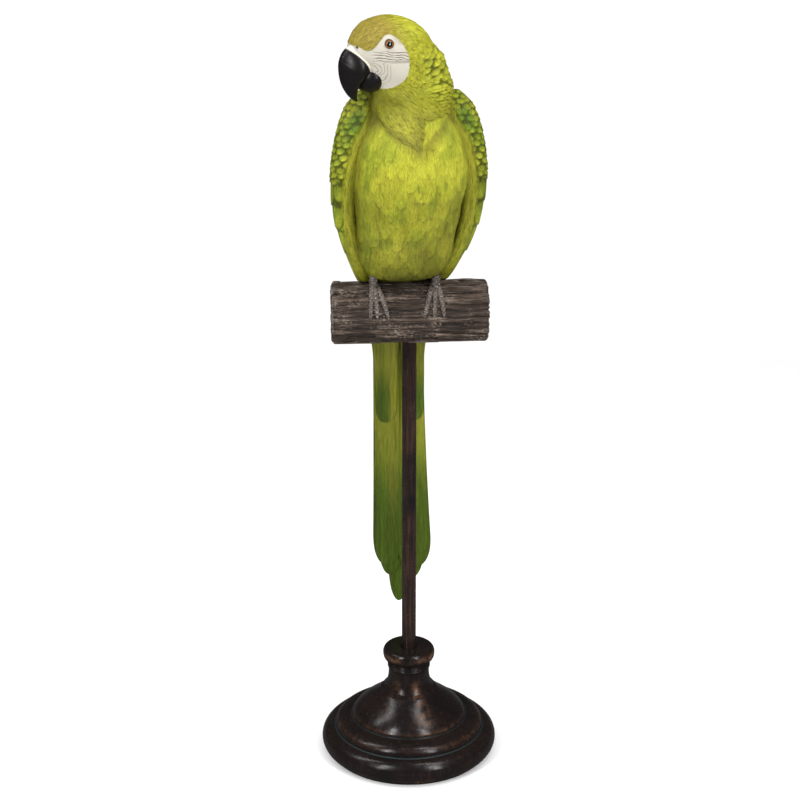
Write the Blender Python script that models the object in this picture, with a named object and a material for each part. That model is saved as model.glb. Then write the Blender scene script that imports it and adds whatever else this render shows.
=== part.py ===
"""A macaw figurine on a bark perch, carried by a thin pole on a turned base.

Lengths are in metres and +Z is up. The origin is the middle of the base's underside, on the
axis of the pole. The perch lies along X, the bird faces -Y and turns its head towards -X.
"""
import math

import bmesh
import bpy
import numpy as np
from mathutils import Matrix, Vector

GAP = 0.0003  # air between pieces that meet

# Turned base, from the ground up
FOOT_RADIUS = 0.0680
FOOT_WIDTH = 0.0090
OUTER_RING_RADIUS = 0.0750
OUTER_RING_HEIGHT = 0.0224
MIDDLE_RING_RADIUS = 0.0633
MIDDLE_RING_HEIGHT = 0.0102
BELL_RADIUS = 0.0484
BELL_HEIGHT = 0.0455
NECK_RADIUS = 0.0173
NECK_BAND_HEIGHT = 0.0072
NECK_BEAD = 0.0009
KNOB_RADIUS = 0.0221
KNOB_HEIGHT = 0.0113
KNOB_ROUND = 0.0032
KNOB_WAIST = 0.55  # share of the knob's height where it is widest
BAND_STEP = 0.0002
BELL_CURVE = 0.85  # the larger, the lower the bell opens
BELL_RIM_SHARE = 0.055  # the upright rim, as a share of the bell's height
BELL_SHARES = (0.0, 0.3, 0.45, 0.58, 0.7, 0.8, 0.89, 1.0)
RING_SHOULDER = 0.14  # share of the middle ring's height where it is widest
BASE_WALL = 0.0055
BOSS_DEPTH = 0.0310
BASE_SIDES = 40

# Pole, tie rod and their fixings
POLE_RADIUS = 0.0060
POLE_WALL = 0.0010
POLE_LENGTH = 0.2905
POLE_SOCKET_DEPTH = 0.0060
LIP_WIDTH = 0.0014
LIP_DEPTH = 0.0010
ROD_RADIUS = 0.0030
ROD_BELOW_NUT = 0.0030
ROD_IN_INSERT = 0.0100
INSERT_RADIUS = 0.0045
INSERT_LENGTH = 0.0120
WASHER_RADIUS = 0.0090
WASHER_THICKNESS = 0.0016
NUT_ACROSS_FLATS = 0.0100
NUT_THICKNESS = 0.0050
POLE_SIDES = 28
ROD_SIDES = 20

# Log
LOG_RADIUS = 0.0254
LOG_LENGTH = 0.1280
BARK_RELIEF = 0.0011
LOG_END_ROUND = 0.0030
LOG_POLE_SOCKET = 0.0050
LOG_SIDES = 44
LOG_STATIONS = 7

# Legs and toes: places across the log, and angles round it from the front horizontal
LEG_RADIUS = 0.0034
LEG_FORWARD = 0.0115
LEG_RISE = 0.0100
TOE_RADIUS = 0.0022
TOE_TIP_RADIUS = 0.0013
TOE_SINK = 0.0011
FRONT_TOE_END = 8.0
REAR_TOE_END = 166.0
TOE_START = 86.0
LEFT_LEG_X = -0.0296
RIGHT_LEG_X = 0.0208
LEFT_TOE_SPREAD = (-0.0030, 0.0026, 0.0116)
RIGHT_TOE_SPREAD = (-0.0100, -0.0020, 0.0062)
REAR_TOE_SPREAD = 0.0090
FOOT_PAD_RADIUS = 0.0060
FOOT_PAD_ANGLE = 74.0
THIGH_SIZES = (0.0085, 0.0120, 0.0120)
THIGH_BACK = -0.0080
THIGH_HEIGHT = 0.0420
TOE_SIDES = 7
TOE_STEPS = 6

# Bird, measured from the log's axis in the bird's own directions
BIRD_YAW = 5.0
RING_POINTS = 30
# height, side, back, half width, depth to the front, depth to the back
BODY_STATIONS = (
    (-0.0230, -0.0035, 0.0370, 0.0150, 0.0050, 0.0075),
    (-0.0080, -0.0035, 0.0345, 0.0215, 0.0090, 0.0105),
    (0.0080, -0.0035, 0.0300, 0.0265, 0.0140, 0.0145),
    (0.0200, -0.0036, 0.0210, 0.0300, 0.0170, 0.0230),
    (0.0280, -0.0037, 0.0150, 0.0325, 0.0195, 0.0285),
    (0.0360, -0.0038, 0.0100, 0.0350, 0.0330, 0.0330),
    (0.0500, -0.0045, 0.0030, 0.0385, 0.0420, 0.0395),
    (0.0700, -0.0045, -0.0030, 0.0400, 0.0470, 0.0450),
    (0.0950, -0.0030, -0.0070, 0.0430, 0.0500, 0.0480),
    (0.1200, -0.0015, -0.0090, 0.0460, 0.0500, 0.0490),
    (0.1400, -0.0013, -0.0100, 0.0435, 0.0470, 0.0470),
    (0.1570, -0.0008, -0.0110, 0.0375, 0.0420, 0.0430),
    (0.1720, -0.0007, -0.0115, 0.0300, 0.0340, 0.0350),
    (0.1880, -0.0020, -0.0120, 0.0220, 0.0230, 0.0250),
)
BODY_POWER = 2.15
# height, side, back, turn, depth to the face, depth to the nape, half width, narrowing to the face
HEAD_STATIONS = (
    (0.1510, -0.0002, -0.0107, 0.0, 0.0462, 0.0400, 0.0408, 0.0),
    (0.1630, -0.0005, -0.0115, 12.0, 0.0398, 0.0380, 0.0362, 0.0),
    (0.1730, -0.0008, -0.0118, 27.0, 0.0335, 0.0365, 0.0325, 0.0),
    (0.1830, -0.0017, -0.0119, 42.0, 0.0275, 0.0355, 0.0290, 0.1),
    (0.1900, -0.0049, -0.0134, 53.0, 0.0265, 0.0395, 0.0290, 0.28),
    (0.1970, -0.0099, -0.0132, 60.0, 0.0262, 0.0420, 0.0290, 0.42),
    (0.2030, -0.0150, -0.0130, 66.0, 0.0275, 0.0450, 0.0290, 0.44),
    (0.2090, -0.0175, -0.0127, 68.0, 0.0305, 0.0450, 0.0290, 0.42),
    (0.2150, -0.0175, -0.0127, 68.0, 0.0325, 0.0430, 0.0285, 0.38),
    (0.2208, -0.0180, -0.0127, 68.0, 0.0348, 0.0380, 0.0275, 0.34),
    (0.2267, -0.0185, -0.0126, 68.0, 0.0340, 0.0340, 0.0262, 0.28),
    (0.2325, -0.0192, -0.0125, 68.0, 0.0308, 0.0312, 0.0242, 0.2),
    (0.2385, -0.0198, -0.0124, 68.0, 0.0260, 0.0262, 0.0203, 0.1),
    (0.2440, -0.0202, -0.0123, 68.0, 0.0182, 0.0182, 0.0138, 0.0),
    (0.2470, -0.0202, -0.0123, 68.0, 0.0100, 0.0100, 0.0078, 0.0),
)
HEAD_POWER = 2.5
CROWN_RISE = 0.0014  # how far the crown's top lies above the last ring
HEAD_AXIS = (-0.0175, -0.0127)  # the line that the beak and the eyes are placed from
HEAD_TURN = 68.0
CAPE_RISE = 0.0220  # how far the cape's edge rises from its point to the shoulders
CAPE_ARM = 0.0270  # how far aside of its point the edge stops rising
CAPE_REACH = 0.0320  # height over which the cape blends into the neck
CAPE_PROUD = 0.0012
CAPE_THICKNESS = 0.0050

# Wings: height, half width outside, back of the nose, back of the wing at the middle, nose
# radius, thickness, share of the quarter turn that the wing covers
WING_STATIONS = (
    (-0.0560, 0.0060, 0.0490, 0.0520, 0.0010, 0.0020, 0.80),
    (-0.0500, 0.0120, 0.0450, 0.0518, 0.0018, 0.0036, 0.90),
    (-0.0380, 0.0170, 0.0410, 0.0512, 0.0024, 0.0048, 0.93),
    (-0.0200, 0.0225, 0.0350, 0.0492, 0.0032, 0.0064, 0.95),
    (0.0000, 0.0275, 0.0260, 0.0482, 0.0040, 0.0080, 0.96),
    (0.0180, 0.0335, 0.0130, 0.0475, 0.0048, 0.0100, 0.96),
    (0.0320, 0.0400, 0.0030, 0.0470, 0.0056, 0.0120, 0.95),
    (0.0450, 0.0455, -0.0025, 0.0465, 0.0062, 0.0140, 0.94),
    (0.0600, 0.0515, -0.0070, 0.0460, 0.0070, 0.0160, 0.92),
    (0.0780, 0.0568, -0.0100, 0.0455, 0.0078, 0.0180, 0.90),
    (0.0980, 0.0602, -0.0118, 0.0445, 0.0088, 0.0200, 0.88),
    (0.1180, 0.0612, -0.0120, 0.0430, 0.0100, 0.0220, 0.84),
    (0.1380, 0.0594, -0.0110, 0.0400, 0.0112, 0.0235, 0.76),
    (0.1540, 0.0564, -0.0090, 0.0350, 0.0118, 0.0240, 0.64),
    (0.1665, 0.0522, -0.0060, 0.0270, 0.0110, 0.0220, 0.52),
    (0.1755, 0.0478, -0.0030, 0.0170, 0.0088, 0.0176, 0.42),
    (0.1810, 0.0432, 0.0000, 0.0080, 0.0052, 0.0100, 0.34),
    (0.1840, 0.0400, 0.0015, 0.0045, 0.0026, 0.0050, 0.30),
)
WING_POWER = 2.2
NOSE_DEPTH = 0.8  # the nose's depth as a share of its half width
WING_CENTRE = -0.0005
WING_LEAN = 0.0220  # how far the wings' middle moves sideways for each metre of height
# lowest height of each layer of coverts at the nose, and how proud it stands
COVERT_LAYERS = (
    (0.1180, 0.0018),
    (0.0980, 0.0009),
)
COVERT_DROP = 0.0160  # how much lower the layers end at the back than at the nose
WING_NOSE_POINTS = 7
WING_OUTER_POINTS = 12
WING_INNER_POINTS = 7

# Tail: places of its middle line at the root and at the tip
TAIL_ROOT = (-0.0038, 0.0370, 0.0220)
TAIL_TIP = (0.0015, 0.0575, -0.2910)
TAIL_SAG = 0.0036
TAIL_HALF_WIDTH = 0.0220
FEATHER_THICKNESS = 0.0034
FEATHER_STEP = 0.0019
# side, half width at the root, half width near the end, height of the top and the end, layer
TAIL_FEATHERS = (
    (0.0115, 0.0094, 0.0086, -0.0050, -0.1150, 0.0),
    (-0.0115, 0.0108, 0.0088, -0.0050, -0.1160, 0.3),
    (0.0110, 0.0088, 0.0164, 0.0020, -0.2660, 1.0),
    (-0.0110, 0.0110, 0.0140, 0.0020, -0.2550, 1.3),
    (0.0085, 0.0100, 0.0110, 0.0040, -0.2690, 2.0),
    (-0.0085, 0.0100, 0.0110, 0.0040, -0.2660, 2.3),
    (0.0040, 0.0090, 0.0085, 0.0060, -0.2760, 3.0),
    (-0.0010, 0.0095, 0.0092, 0.0080, -0.2940, 3.6),
)
FEATHER_RINGS = (0.0, 0.3, 0.55, 0.75, 0.88, 0.94, 0.975, 0.995)
FEATHER_POINTS = 10
TIP_START = 0.86  # share of a feather's length where its end begins to round off
TIP_POWER = 2.4

# Beak, in the head's own directions from the middle of the head: forward and up
BEAK_PIVOT = (0.0220, 0.2010)
# angle, distance to the outer edge, distance to the inner edge, half width
BEAK_STATIONS = (
    (84.0, 0.0290, 0.0030, 0.0135),
    (56.0, 0.0305, 0.0030, 0.0150),
    (38.0, 0.0277, 0.0030, 0.0146),
    (20.0, 0.0240, 0.0032, 0.0130),
    (0.0, 0.0212, 0.0045, 0.0106),
    (-22.0, 0.0194, 0.0075, 0.0080),
    (-42.0, 0.0188, 0.0112, 0.0054),
    (-56.0, 0.0188, 0.0146, 0.0031),
    (-65.0, 0.0188, 0.0172, 0.0013),
)
BEAK_FLARE = 1.12  # width of a section against its half width, at the middle of the beak
BEAK_KEEL = 0.55  # how much of that the section loses at the outer edge
BEAK_POINTS = 14
JAW_MIDDLE = (0.0196, 0.2036)
JAW_HALF_SIZES = (0.0120, 0.0174, 0.0132)
JAW_STEPS = 6

# Eyes: forward from the middle of the head, and down from the crown
EYE_FORWARD = 0.0118
EYE_BELOW_CROWN = 0.0166
EYE_RADIUS = 0.0038
EYE_PROUD = 0.0014

# Heights and radii that follow from the sizes above
CROWN_HEIGHT = HEAD_STATIONS[-1][0] + CROWN_RISE
EYE_HEIGHT = CROWN_HEIGHT - EYE_BELOW_CROWN
RING_TOP = OUTER_RING_HEIGHT + MIDDLE_RING_HEIGHT
BELL_TOP = RING_TOP + BELL_HEIGHT
BAND_TOP = BELL_TOP + NECK_BAND_HEIGHT
BASE_HEIGHT = BAND_TOP + KNOB_HEIGHT
BOSS_FACE = BASE_HEIGHT - POLE_SOCKET_DEPTH - BOSS_DEPTH
POLE_BOTTOM = BASE_HEIGHT - POLE_SOCKET_DEPTH + GAP
POLE_TOP = POLE_BOTTOM + POLE_LENGTH
LOG_SKIN = LOG_RADIUS + BARK_RELIEF
PERCH_HEIGHT = POLE_TOP + GAP - LOG_POLE_SOCKET + LOG_RADIUS
POLE_SOCKET_RADIUS = POLE_RADIUS + GAP
ROD_HOLE_RADIUS = ROD_RADIUS + GAP
INSERT_BOTTOM = POLE_TOP + 2 * GAP
WASHER_TOP = BOSS_FACE - GAP
NUT_TOP = WASHER_TOP - WASHER_THICKNESS - GAP
ROD_BOTTOM = NUT_TOP - NUT_THICKNESS - ROD_BELOW_NUT
ROD_TOP = INSERT_BOTTOM + ROD_IN_INSERT


def clear_scene():
    """Removes the objects that the scene starts with."""
    for thing in list(bpy.data.objects):
        bpy.data.objects.remove(thing, do_unlink=True)


def material(name, colour, roughness, metallic):
    """A plain finish."""
    finish = bpy.data.materials.new(name)
    finish.use_nodes = True
    shader = finish.node_tree.nodes["Principled BSDF"]
    shader.inputs["Base Color"].default_value = (*colour, 1.0)
    shader.inputs["Roughness"].default_value = roughness
    shader.inputs["Metallic"].default_value = metallic
    return finish


def add_object(name, bm, finish, sharp_angle=40.0):
    """Turns a bmesh into an object that is shaded smooth up to a crease angle."""
    bmesh.ops.recalc_face_normals(bm, faces=bm.faces)
    mesh = bpy.data.meshes.new(name)
    bm.to_mesh(mesh)
    bm.free()
    mesh.shade_smooth()
    mesh.set_sharp_from_angle(angle=math.radians(sharp_angle))
    if finish:
        mesh.materials.append(finish)
    thing = bpy.data.objects.new(name, mesh)
    bpy.context.scene.collection.objects.link(thing)
    return thing


def loft(rings):
    """Skins a row of rings with quads, and closes both ends."""
    bm = bmesh.new()
    rows = [[bm.verts.new(point) for point in ring] for ring in rings]
    count = len(rows[0])
    for low, high in zip(rows, rows[1:]):
        for k in range(count):
            following = (k + 1) % count
            bm.faces.new((low[k], low[following], high[following], high[k]))
    ends = [bm.faces.new(rows[0]), bm.faces.new(rows[-1])]
    bm.normal_update()
    bmesh.ops.triangulate(bm, faces=ends, ngon_method="EAR_CLIP")
    return bm


def turned(profile, sides):
    """Spins a closed outline of radius and height round the Z axis."""
    bm = bmesh.new()
    rows = []
    for k in range(sides):
        angle = 2 * math.pi * k / sides
        rows.append([bm.verts.new((r * math.cos(angle), r * math.sin(angle), z)) for r, z in profile])
    for k in range(sides):
        this, following = rows[k], rows[(k + 1) % sides]
        for i in range(len(profile)):
            j = (i + 1) % len(profile)
            bm.faces.new((this[i], this[j], following[j], following[i]))
    return bm


def arc(middle_r, middle_z, radius_r, radius_z, start, end, steps):
    """Points on an elliptic arc, with angles in degrees."""
    points = []
    for k in range(steps + 1):
        angle = math.radians(start + (end - start) * k / steps)
        points.append((middle_r + radius_r * math.cos(angle), middle_z + radius_z * math.sin(angle)))
    return points


def smooth_rows(table, steps):
    """Rows on smooth curves through a table whose first column rises or falls steadily."""
    rows = np.array(table)
    slopes = np.gradient(rows, rows[:, 0], axis=0)
    result = []
    for i in range(len(rows) - 1):
        span = rows[i + 1, 0] - rows[i, 0]
        for k in range(steps):
            u = k / steps
            result.append(
                rows[i] * (2 * u**3 - 3 * u**2 + 1)
                + slopes[i] * span * (u**3 - 2 * u**2 + u)
                + rows[i + 1] * (3 * u**2 - 2 * u**3)
                + slopes[i + 1] * span * (u**3 - u**2)
            )
    result.append(rows[-1])
    return result


def combine(target, others, operation, solver="EXACT"):
    """Applies a Boolean with each of the other objects in turn, and removes them."""
    for other in others:
        step = target.modifiers.new("combine", "BOOLEAN")
        step.object = other
        step.operation = operation
        step.solver = solver
        graph = bpy.context.evaluated_depsgraph_get()
        mesh = bpy.data.meshes.new_from_object(target.evaluated_get(graph))
        target.modifiers.clear()
        target.data = mesh
        bpy.data.objects.remove(other, do_unlink=True)
    return target


def fill_voids(thing):
    """Fills the small sealed voids that a union leaves, by keeping only the largest shell."""
    bm = bmesh.new()
    bm.from_mesh(thing.data)
    left = set(bm.faces)
    shells = []
    while left:
        shell = {left.pop()}
        edge_of = list(shell)
        while edge_of:
            for edge in edge_of.pop().edges:
                fresh = left.intersection(edge.link_faces)
                left -= fresh
                shell |= fresh
                edge_of += fresh
        shells.append(shell)
    shells.sort(key=len)
    for shell in shells[:-1]:
        bmesh.ops.delete(bm, geom=list(shell), context="FACES")
    bm.to_mesh(thing.data)
    bm.free()


def cylinder(radius, bottom, top, sides, bore=0.0, flats=False):
    """A rod, tube, washer or nut on the Z axis."""
    if flats:
        radius = radius / math.cos(math.pi / sides)
    if bore:
        outline = [(bore, top), (radius, top), (radius, bottom), (bore, bottom)]
        return turned(outline, sides)
    rings = []
    for height in (bottom, top):
        angles = [2 * math.pi * k / sides for k in range(sides)]
        rings.append([(radius * math.cos(a), radius * math.sin(a), height) for a in angles])
    return loft(rings)


def bell_share(t):
    """How far the bell has opened from the neck to its rim, at a share t of the way down."""
    return t**3 / (t**3 + BELL_CURVE * (1 - t))


def base_outline():
    """The base's section: down the outside, in over the foot, up the hollow and the bore."""
    socket_floor = BASE_HEIGHT - POLE_SOCKET_DEPTH
    knob_waist = BAND_TOP + KNOB_WAIST * KNOB_HEIGHT
    lip = POLE_SOCKET_RADIUS + LIP_WIDTH
    points = [
        (POLE_SOCKET_RADIUS, socket_floor),
        (POLE_SOCKET_RADIUS, BASE_HEIGHT - LIP_DEPTH),
        (lip, BASE_HEIGHT - LIP_DEPTH),
        (lip + 0.3 * LIP_WIDTH, BASE_HEIGHT),
    ]
    knob_side = KNOB_RADIUS - KNOB_ROUND
    points += arc(knob_side, knob_waist, KNOB_RADIUS - knob_side, BASE_HEIGHT - knob_waist, 90, 0, 3)
    points += arc(knob_side, knob_waist, KNOB_RADIUS - knob_side, knob_waist - BAND_TOP, 0, -70, 2)[1:]
    middle_band = BELL_TOP + 0.5 * NECK_BAND_HEIGHT
    points += [
        (NECK_RADIUS + NECK_BEAD, BAND_TOP - BAND_STEP),
        (NECK_RADIUS + NECK_BEAD, middle_band),
        (NECK_RADIUS, middle_band - 0.3 * NECK_BEAD),
    ]
    bell_rim = RING_TOP + BELL_RIM_SHARE * BELL_HEIGHT
    for t in BELL_SHARES:
        radius = NECK_RADIUS + (BELL_RADIUS - NECK_RADIUS) * bell_share(t)
        points.append((radius, BELL_TOP + (bell_rim - BELL_TOP) * t))
    points.append((BELL_RADIUS - 0.5 * NECK_BEAD, RING_TOP))
    ring_middle = OUTER_RING_HEIGHT + RING_SHOULDER * MIDDLE_RING_HEIGHT
    ring_inner = BELL_RADIUS + 0.5 * NECK_BEAD
    points += arc(
        ring_inner, ring_middle, MIDDLE_RING_RADIUS - ring_inner, RING_TOP - ring_middle, 88, 0, 4
    )
    points.append((MIDDLE_RING_RADIUS - 0.5 * NECK_BEAD, OUTER_RING_HEIGHT))
    bead = 0.5 * OUTER_RING_HEIGHT
    points += arc(OUTER_RING_RADIUS - bead, bead, bead, bead, 82, -62, 7)
    points.append((FOOT_RADIUS, 0.0))
    foot_inner = FOOT_RADIUS - FOOT_WIDTH
    points += [
        (foot_inner, 0.0),
        (foot_inner, OUTER_RING_HEIGHT - BASE_WALL),
        (BELL_RADIUS - BASE_WALL, RING_TOP - BASE_WALL),
        (NECK_RADIUS + BASE_WALL, BOSS_FACE),
        (ROD_HOLE_RADIUS, BOSS_FACE),
        (ROD_HOLE_RADIUS, socket_floor),
    ]
    return points


def build_stand(bronze, steel, brass):
    """The base, the pole and what holds them together."""
    add_object("base", turned(base_outline(), BASE_SIDES), bronze, 30.0)
    tube = cylinder(POLE_RADIUS, POLE_BOTTOM, POLE_TOP, POLE_SIDES, POLE_RADIUS - POLE_WALL)
    add_object("pole_tube", tube, bronze)
    add_object("tie_rod", cylinder(ROD_RADIUS, ROD_BOTTOM, ROD_TOP, ROD_SIDES), steel)
    insert = cylinder(
        INSERT_RADIUS, INSERT_BOTTOM, INSERT_BOTTOM + INSERT_LENGTH, ROD_SIDES, ROD_HOLE_RADIUS
    )
    add_object("rod_insert", insert, brass)
    washer = cylinder(
        WASHER_RADIUS, WASHER_TOP - WASHER_THICKNESS, WASHER_TOP, POLE_SIDES, ROD_HOLE_RADIUS
    )
    add_object("base_washer", washer, steel)
    nut = cylinder(0.5 * NUT_ACROSS_FLATS, NUT_TOP - NUT_THICKNESS, NUT_TOP, 6, 0.0, True)
    nut_object = add_object("base_nut", nut, steel)
    hole = cylinder(ROD_HOLE_RADIUS, NUT_TOP - 2 * NUT_THICKNESS, NUT_TOP + NUT_THICKNESS, ROD_SIDES)
    combine(nut_object, [add_object("nut_hole", hole, None)], "DIFFERENCE")


def bark_radius(angle, along):
    """The log's radius: long ridges that wander along the log, on a slightly uneven round."""
    wander = 0.35 * math.sin(38.0 * along + 1.3) + 0.2 * math.sin(75.0 * along)
    ridges = 0.55 * math.sin(11 * angle + 2.2 * wander) + 0.45 * math.sin(17 * angle - 3.0 * wander + 0.8)
    uneven = 0.3 * math.sin(2 * angle + 0.7) + 0.25 * math.sin(3 * angle + 25.0 * along)
    return LOG_RADIUS + BARK_RELIEF * min(1.0, 0.75 * ridges + uneven)


def log_point(angle, along, radius):
    """A point at a distance from the log's axis, at an angle up from the front horizontal."""
    return Vector((along, -radius * math.cos(angle), PERCH_HEIGHT + radius * math.sin(angle)))


def log_body():
    """The bark cylinder with rounded, slightly ragged ends."""
    half = 0.5 * LOG_LENGTH
    inner = half - 2 * LOG_END_ROUND
    places = [-half, -half + 0.4 * LOG_END_ROUND]
    places += [-inner + 2 * inner * k / (LOG_STATIONS - 1) for k in range(LOG_STATIONS)]
    places += [half - 0.4 * LOG_END_ROUND, half]
    rings = []
    for along in places:
        share = max(0.0, 1 - (half - abs(along)) / LOG_END_ROUND)
        ring = []
        for k in range(LOG_SIDES):
            angle = 2 * math.pi * k / LOG_SIDES
            radius = bark_radius(angle, along) - LOG_END_ROUND * share**2
            ragged = LOG_END_ROUND * share * 0.3 * math.sin(5 * angle + 40 * along)
            ring.append(log_point(angle, along - math.copysign(abs(ragged), along), radius))
        rings.append(ring)
    return loft(rings)


def tube_along(points, radii, sides):
    """A closed tube through points, with a radius at each."""
    rings = []
    for i, point in enumerate(points):
        ahead = points[min(i + 1, len(points) - 1)] - points[max(i - 1, 0)]
        ahead.normalize()
        side = ahead.cross(Vector((1, 0, 0)))
        if side.length < 0.2:
            side = ahead.cross(Vector((0, 1, 0)))
        side.normalize()
        other = ahead.cross(side)
        angles = [2 * math.pi * k / sides for k in range(sides)]
        rings.append([point + radii[i] * (math.cos(a) * side + math.sin(a) * other) for a in angles])
    return loft(rings)


def toe(leg_x, spread, end_angle, extra):
    """One toe that lies round the log, from the leg to its tip."""
    points = []
    radii = []
    for k in range(TOE_STEPS + 1):
        u = k / TOE_STEPS
        angle = math.radians(TOE_START + (end_angle - TOE_START) * u)
        along = leg_x + spread * u**0.8
        lift = LOG_RADIUS - TOE_SINK + TOE_RADIUS * (1 - 0.55 * u**3)
        points.append(log_point(angle, along, lift))
        radii.append(TOE_RADIUS + (TOE_TIP_RADIUS - TOE_RADIUS) * u**3 + extra)
    return tube_along(points, radii, TOE_SIDES)


def foot_pad(leg_x, extra):
    """The ball of the foot, where the toes meet."""
    bm = bmesh.new()
    bmesh.ops.create_icosphere(bm, subdivisions=2, radius=FOOT_PAD_RADIUS + extra)
    place = log_point(math.radians(FOOT_PAD_ANGLE), leg_x, LOG_RADIUS - 0.6 * FOOT_PAD_RADIUS)
    bmesh.ops.translate(bm, vec=place, verts=bm.verts)
    return bm


def feet(extra):
    """Both legs with their toes, with something added to each radius for clearance."""
    pieces = []
    rear_x = {LEFT_LEG_X: -REAR_TOE_SPREAD, RIGHT_LEG_X: REAR_TOE_SPREAD}
    for leg_x, spreads in ((LEFT_LEG_X, LEFT_TOE_SPREAD), (RIGHT_LEG_X, RIGHT_TOE_SPREAD)):
        top = PERCH_HEIGHT + LOG_RADIUS + LEG_RISE + extra
        foot = Vector((leg_x, -LEG_FORWARD, PERCH_HEIGHT + 0.6 * LOG_RADIUS))
        leg = [foot, Vector((leg_x, -LEG_FORWARD, top))]
        pieces.append(add_object("leg", tube_along(leg, [LEG_RADIUS + extra] * 2, 12), None))
        pieces.append(add_object("foot_pad", foot_pad(leg_x, extra), None))
        for spread in spreads:
            pieces.append(add_object("toe", toe(leg_x, spread, FRONT_TOE_END, extra), None))
        pieces.append(add_object("toe", toe(leg_x, rear_x[leg_x], REAR_TOE_END, extra), None))
    return pieces


def build_perch(bark):
    """The log casting with the feet on it, bored for the pole and the insert."""
    log = add_object("perch_log", log_body(), bark, 50.0)
    combine(log, feet(0.0), "UNION", "MANIFOLD")
    fill_voids(log)
    start = PERCH_HEIGHT - 2 * LOG_RADIUS
    pole_hole = cylinder(POLE_SOCKET_RADIUS, start, POLE_TOP + GAP, POLE_SIDES)
    insert_hole = cylinder(INSERT_RADIUS + GAP, start, INSERT_BOTTOM + INSERT_LENGTH + GAP, ROD_SIDES)
    holes = [add_object("pole_hole", pole_hole, None), add_object("insert_hole", insert_hole, None)]
    combine(log, holes, "DIFFERENCE", "MANIFOLD")


def bird_frame():
    """Places the bird's own directions on the log's axis."""
    return Matrix.Translation((0, 0, PERCH_HEIGHT)) @ Matrix.Rotation(math.radians(BIRD_YAW), 4, "Z")


def oval(height, side, back, turn, front, rear, half, taper, power):
    """A level ring, rounder or squarer by its power, that faces -Y turned towards -X."""
    ring = []
    turn = math.radians(turn)
    for k in range(RING_POINTS):
        angle = 2 * math.pi * k / RING_POINTS
        ahead = math.copysign(abs(math.cos(angle)) ** (2 / power), math.cos(angle))
        left = half * math.copysign(abs(math.sin(angle)) ** (2 / power), math.sin(angle))
        left *= 1 - taper * max(0.0, ahead)
        ahead *= front if ahead > 0 else rear
        x = side - ahead * math.sin(turn) + left * math.cos(turn)
        y = back - ahead * math.cos(turn) - left * math.sin(turn)
        ring.append(Vector((x, y, height)))
    return ring


def body():
    """The trunk, from the rump behind the log to the root of the neck."""
    rings = []
    for height, side, back, half, front, rear in BODY_STATIONS:
        rings.append(oval(height, side, back, 0.0, front, rear, half, 0.0, BODY_POWER))
    return loft(rings)


def table_values(table, height):
    """The values of a table's other columns at any height."""
    rows = np.array(table)
    return [float(np.interp(height, rows[:, 0], rows[:, i])) for i in range(1, rows.shape[1])]


def hug_trunk(point, share):
    """Draws a point of the cape towards the trunk's surface, by a share from 0 to 1."""
    side, back, half, front, rear = table_values(BODY_STATIONS, point.z)
    offset = Vector((point.x - side, point.y - back, 0.0))
    depth = front if offset.y < 0 else rear
    size = (abs(offset.x) / half) ** BODY_POWER + (abs(offset.y) / depth) ** BODY_POWER
    edge = offset.length / size ** (1 / BODY_POWER) + CAPE_PROUD
    reach = max(edge, offset.length)
    reach += (edge - reach) * share**2
    return Vector((side, back, point.z)) + offset.normalized() * reach


def head():
    """The head and neck, ending in the cape whose edge comes to a point on the breast."""
    rows = smooth_rows(HEAD_STATIONS, 2)
    lowest = rows[0]
    rings = []
    for row in rows:
        share = max(0.0, 1 - (row[0] - lowest[0]) / CAPE_REACH)
        ring = []
        for k, flat in enumerate(oval(*lowest, HEAD_POWER)):
            aside = abs(flat.x - lowest[1]) / CAPE_ARM if flat.y < lowest[2] else 1.0
            height = row[0] + CAPE_RISE * share * min(1.0, aside)
            point = oval(height, *table_values(rows, height), HEAD_POWER)[k]
            ring.append(hug_trunk(point, share) if share else point)
        rings.append(ring)
    inner = []
    for point in rings[0]:
        middle = Vector((lowest[1], lowest[2], point.z + CAPE_THICKNESS))
        inner.append(point + (middle - point).normalized() * CAPE_THICKNESS)
    crown = HEAD_STATIONS[-1]
    top = [Vector((crown[1], crown[2], CROWN_HEIGHT)).lerp(point, 0.4) for point in rings[-1]]
    return loft([inner] + rings + [top])


def head_point(forward, left, height):
    """A point in the head's own directions."""
    turn = math.radians(HEAD_TURN)
    x = HEAD_AXIS[0] - forward * math.sin(turn) + left * math.cos(turn)
    y = HEAD_AXIS[1] - forward * math.cos(turn) - left * math.sin(turn)
    return Vector((x, y, height))


def upper_beak():
    """The hooked upper half of the beak, swept round a point inside the mouth."""
    rings = []
    for angle, outer, inner, half in smooth_rows(BEAK_STATIONS, 2):
        angle = math.radians(angle)
        ring = []
        for k in range(BEAK_POINTS):
            round_angle = 2 * math.pi * k / BEAK_POINTS
            share = 0.5 + 0.5 * math.cos(round_angle)
            reach = inner + (outer - inner) * share
            width = half * math.sin(round_angle) * (BEAK_FLARE - BEAK_KEEL * share**2)
            forward = BEAK_PIVOT[0] + reach * math.cos(angle)
            ring.append(head_point(forward, width, BEAK_PIVOT[1] + reach * math.sin(angle)))
        rings.append(ring)
    return loft(rings)


def lower_beak():
    """The rounded lower half of the beak."""
    long, wide, high = JAW_HALF_SIZES
    rings = []
    for i in range(1, 2 * JAW_STEPS):
        angle = math.pi * i / (2 * JAW_STEPS)
        height = JAW_MIDDLE[1] - high * math.cos(angle)
        ring = []
        for k in range(2 * JAW_STEPS):
            turn = math.pi * k / JAW_STEPS
            forward = JAW_MIDDLE[0] + long * math.sin(angle) * math.cos(turn)
            ring.append(head_point(forward, wide * math.sin(angle) * math.sin(turn), height))
        rings.append(ring)
    return loft(rings)


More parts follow.
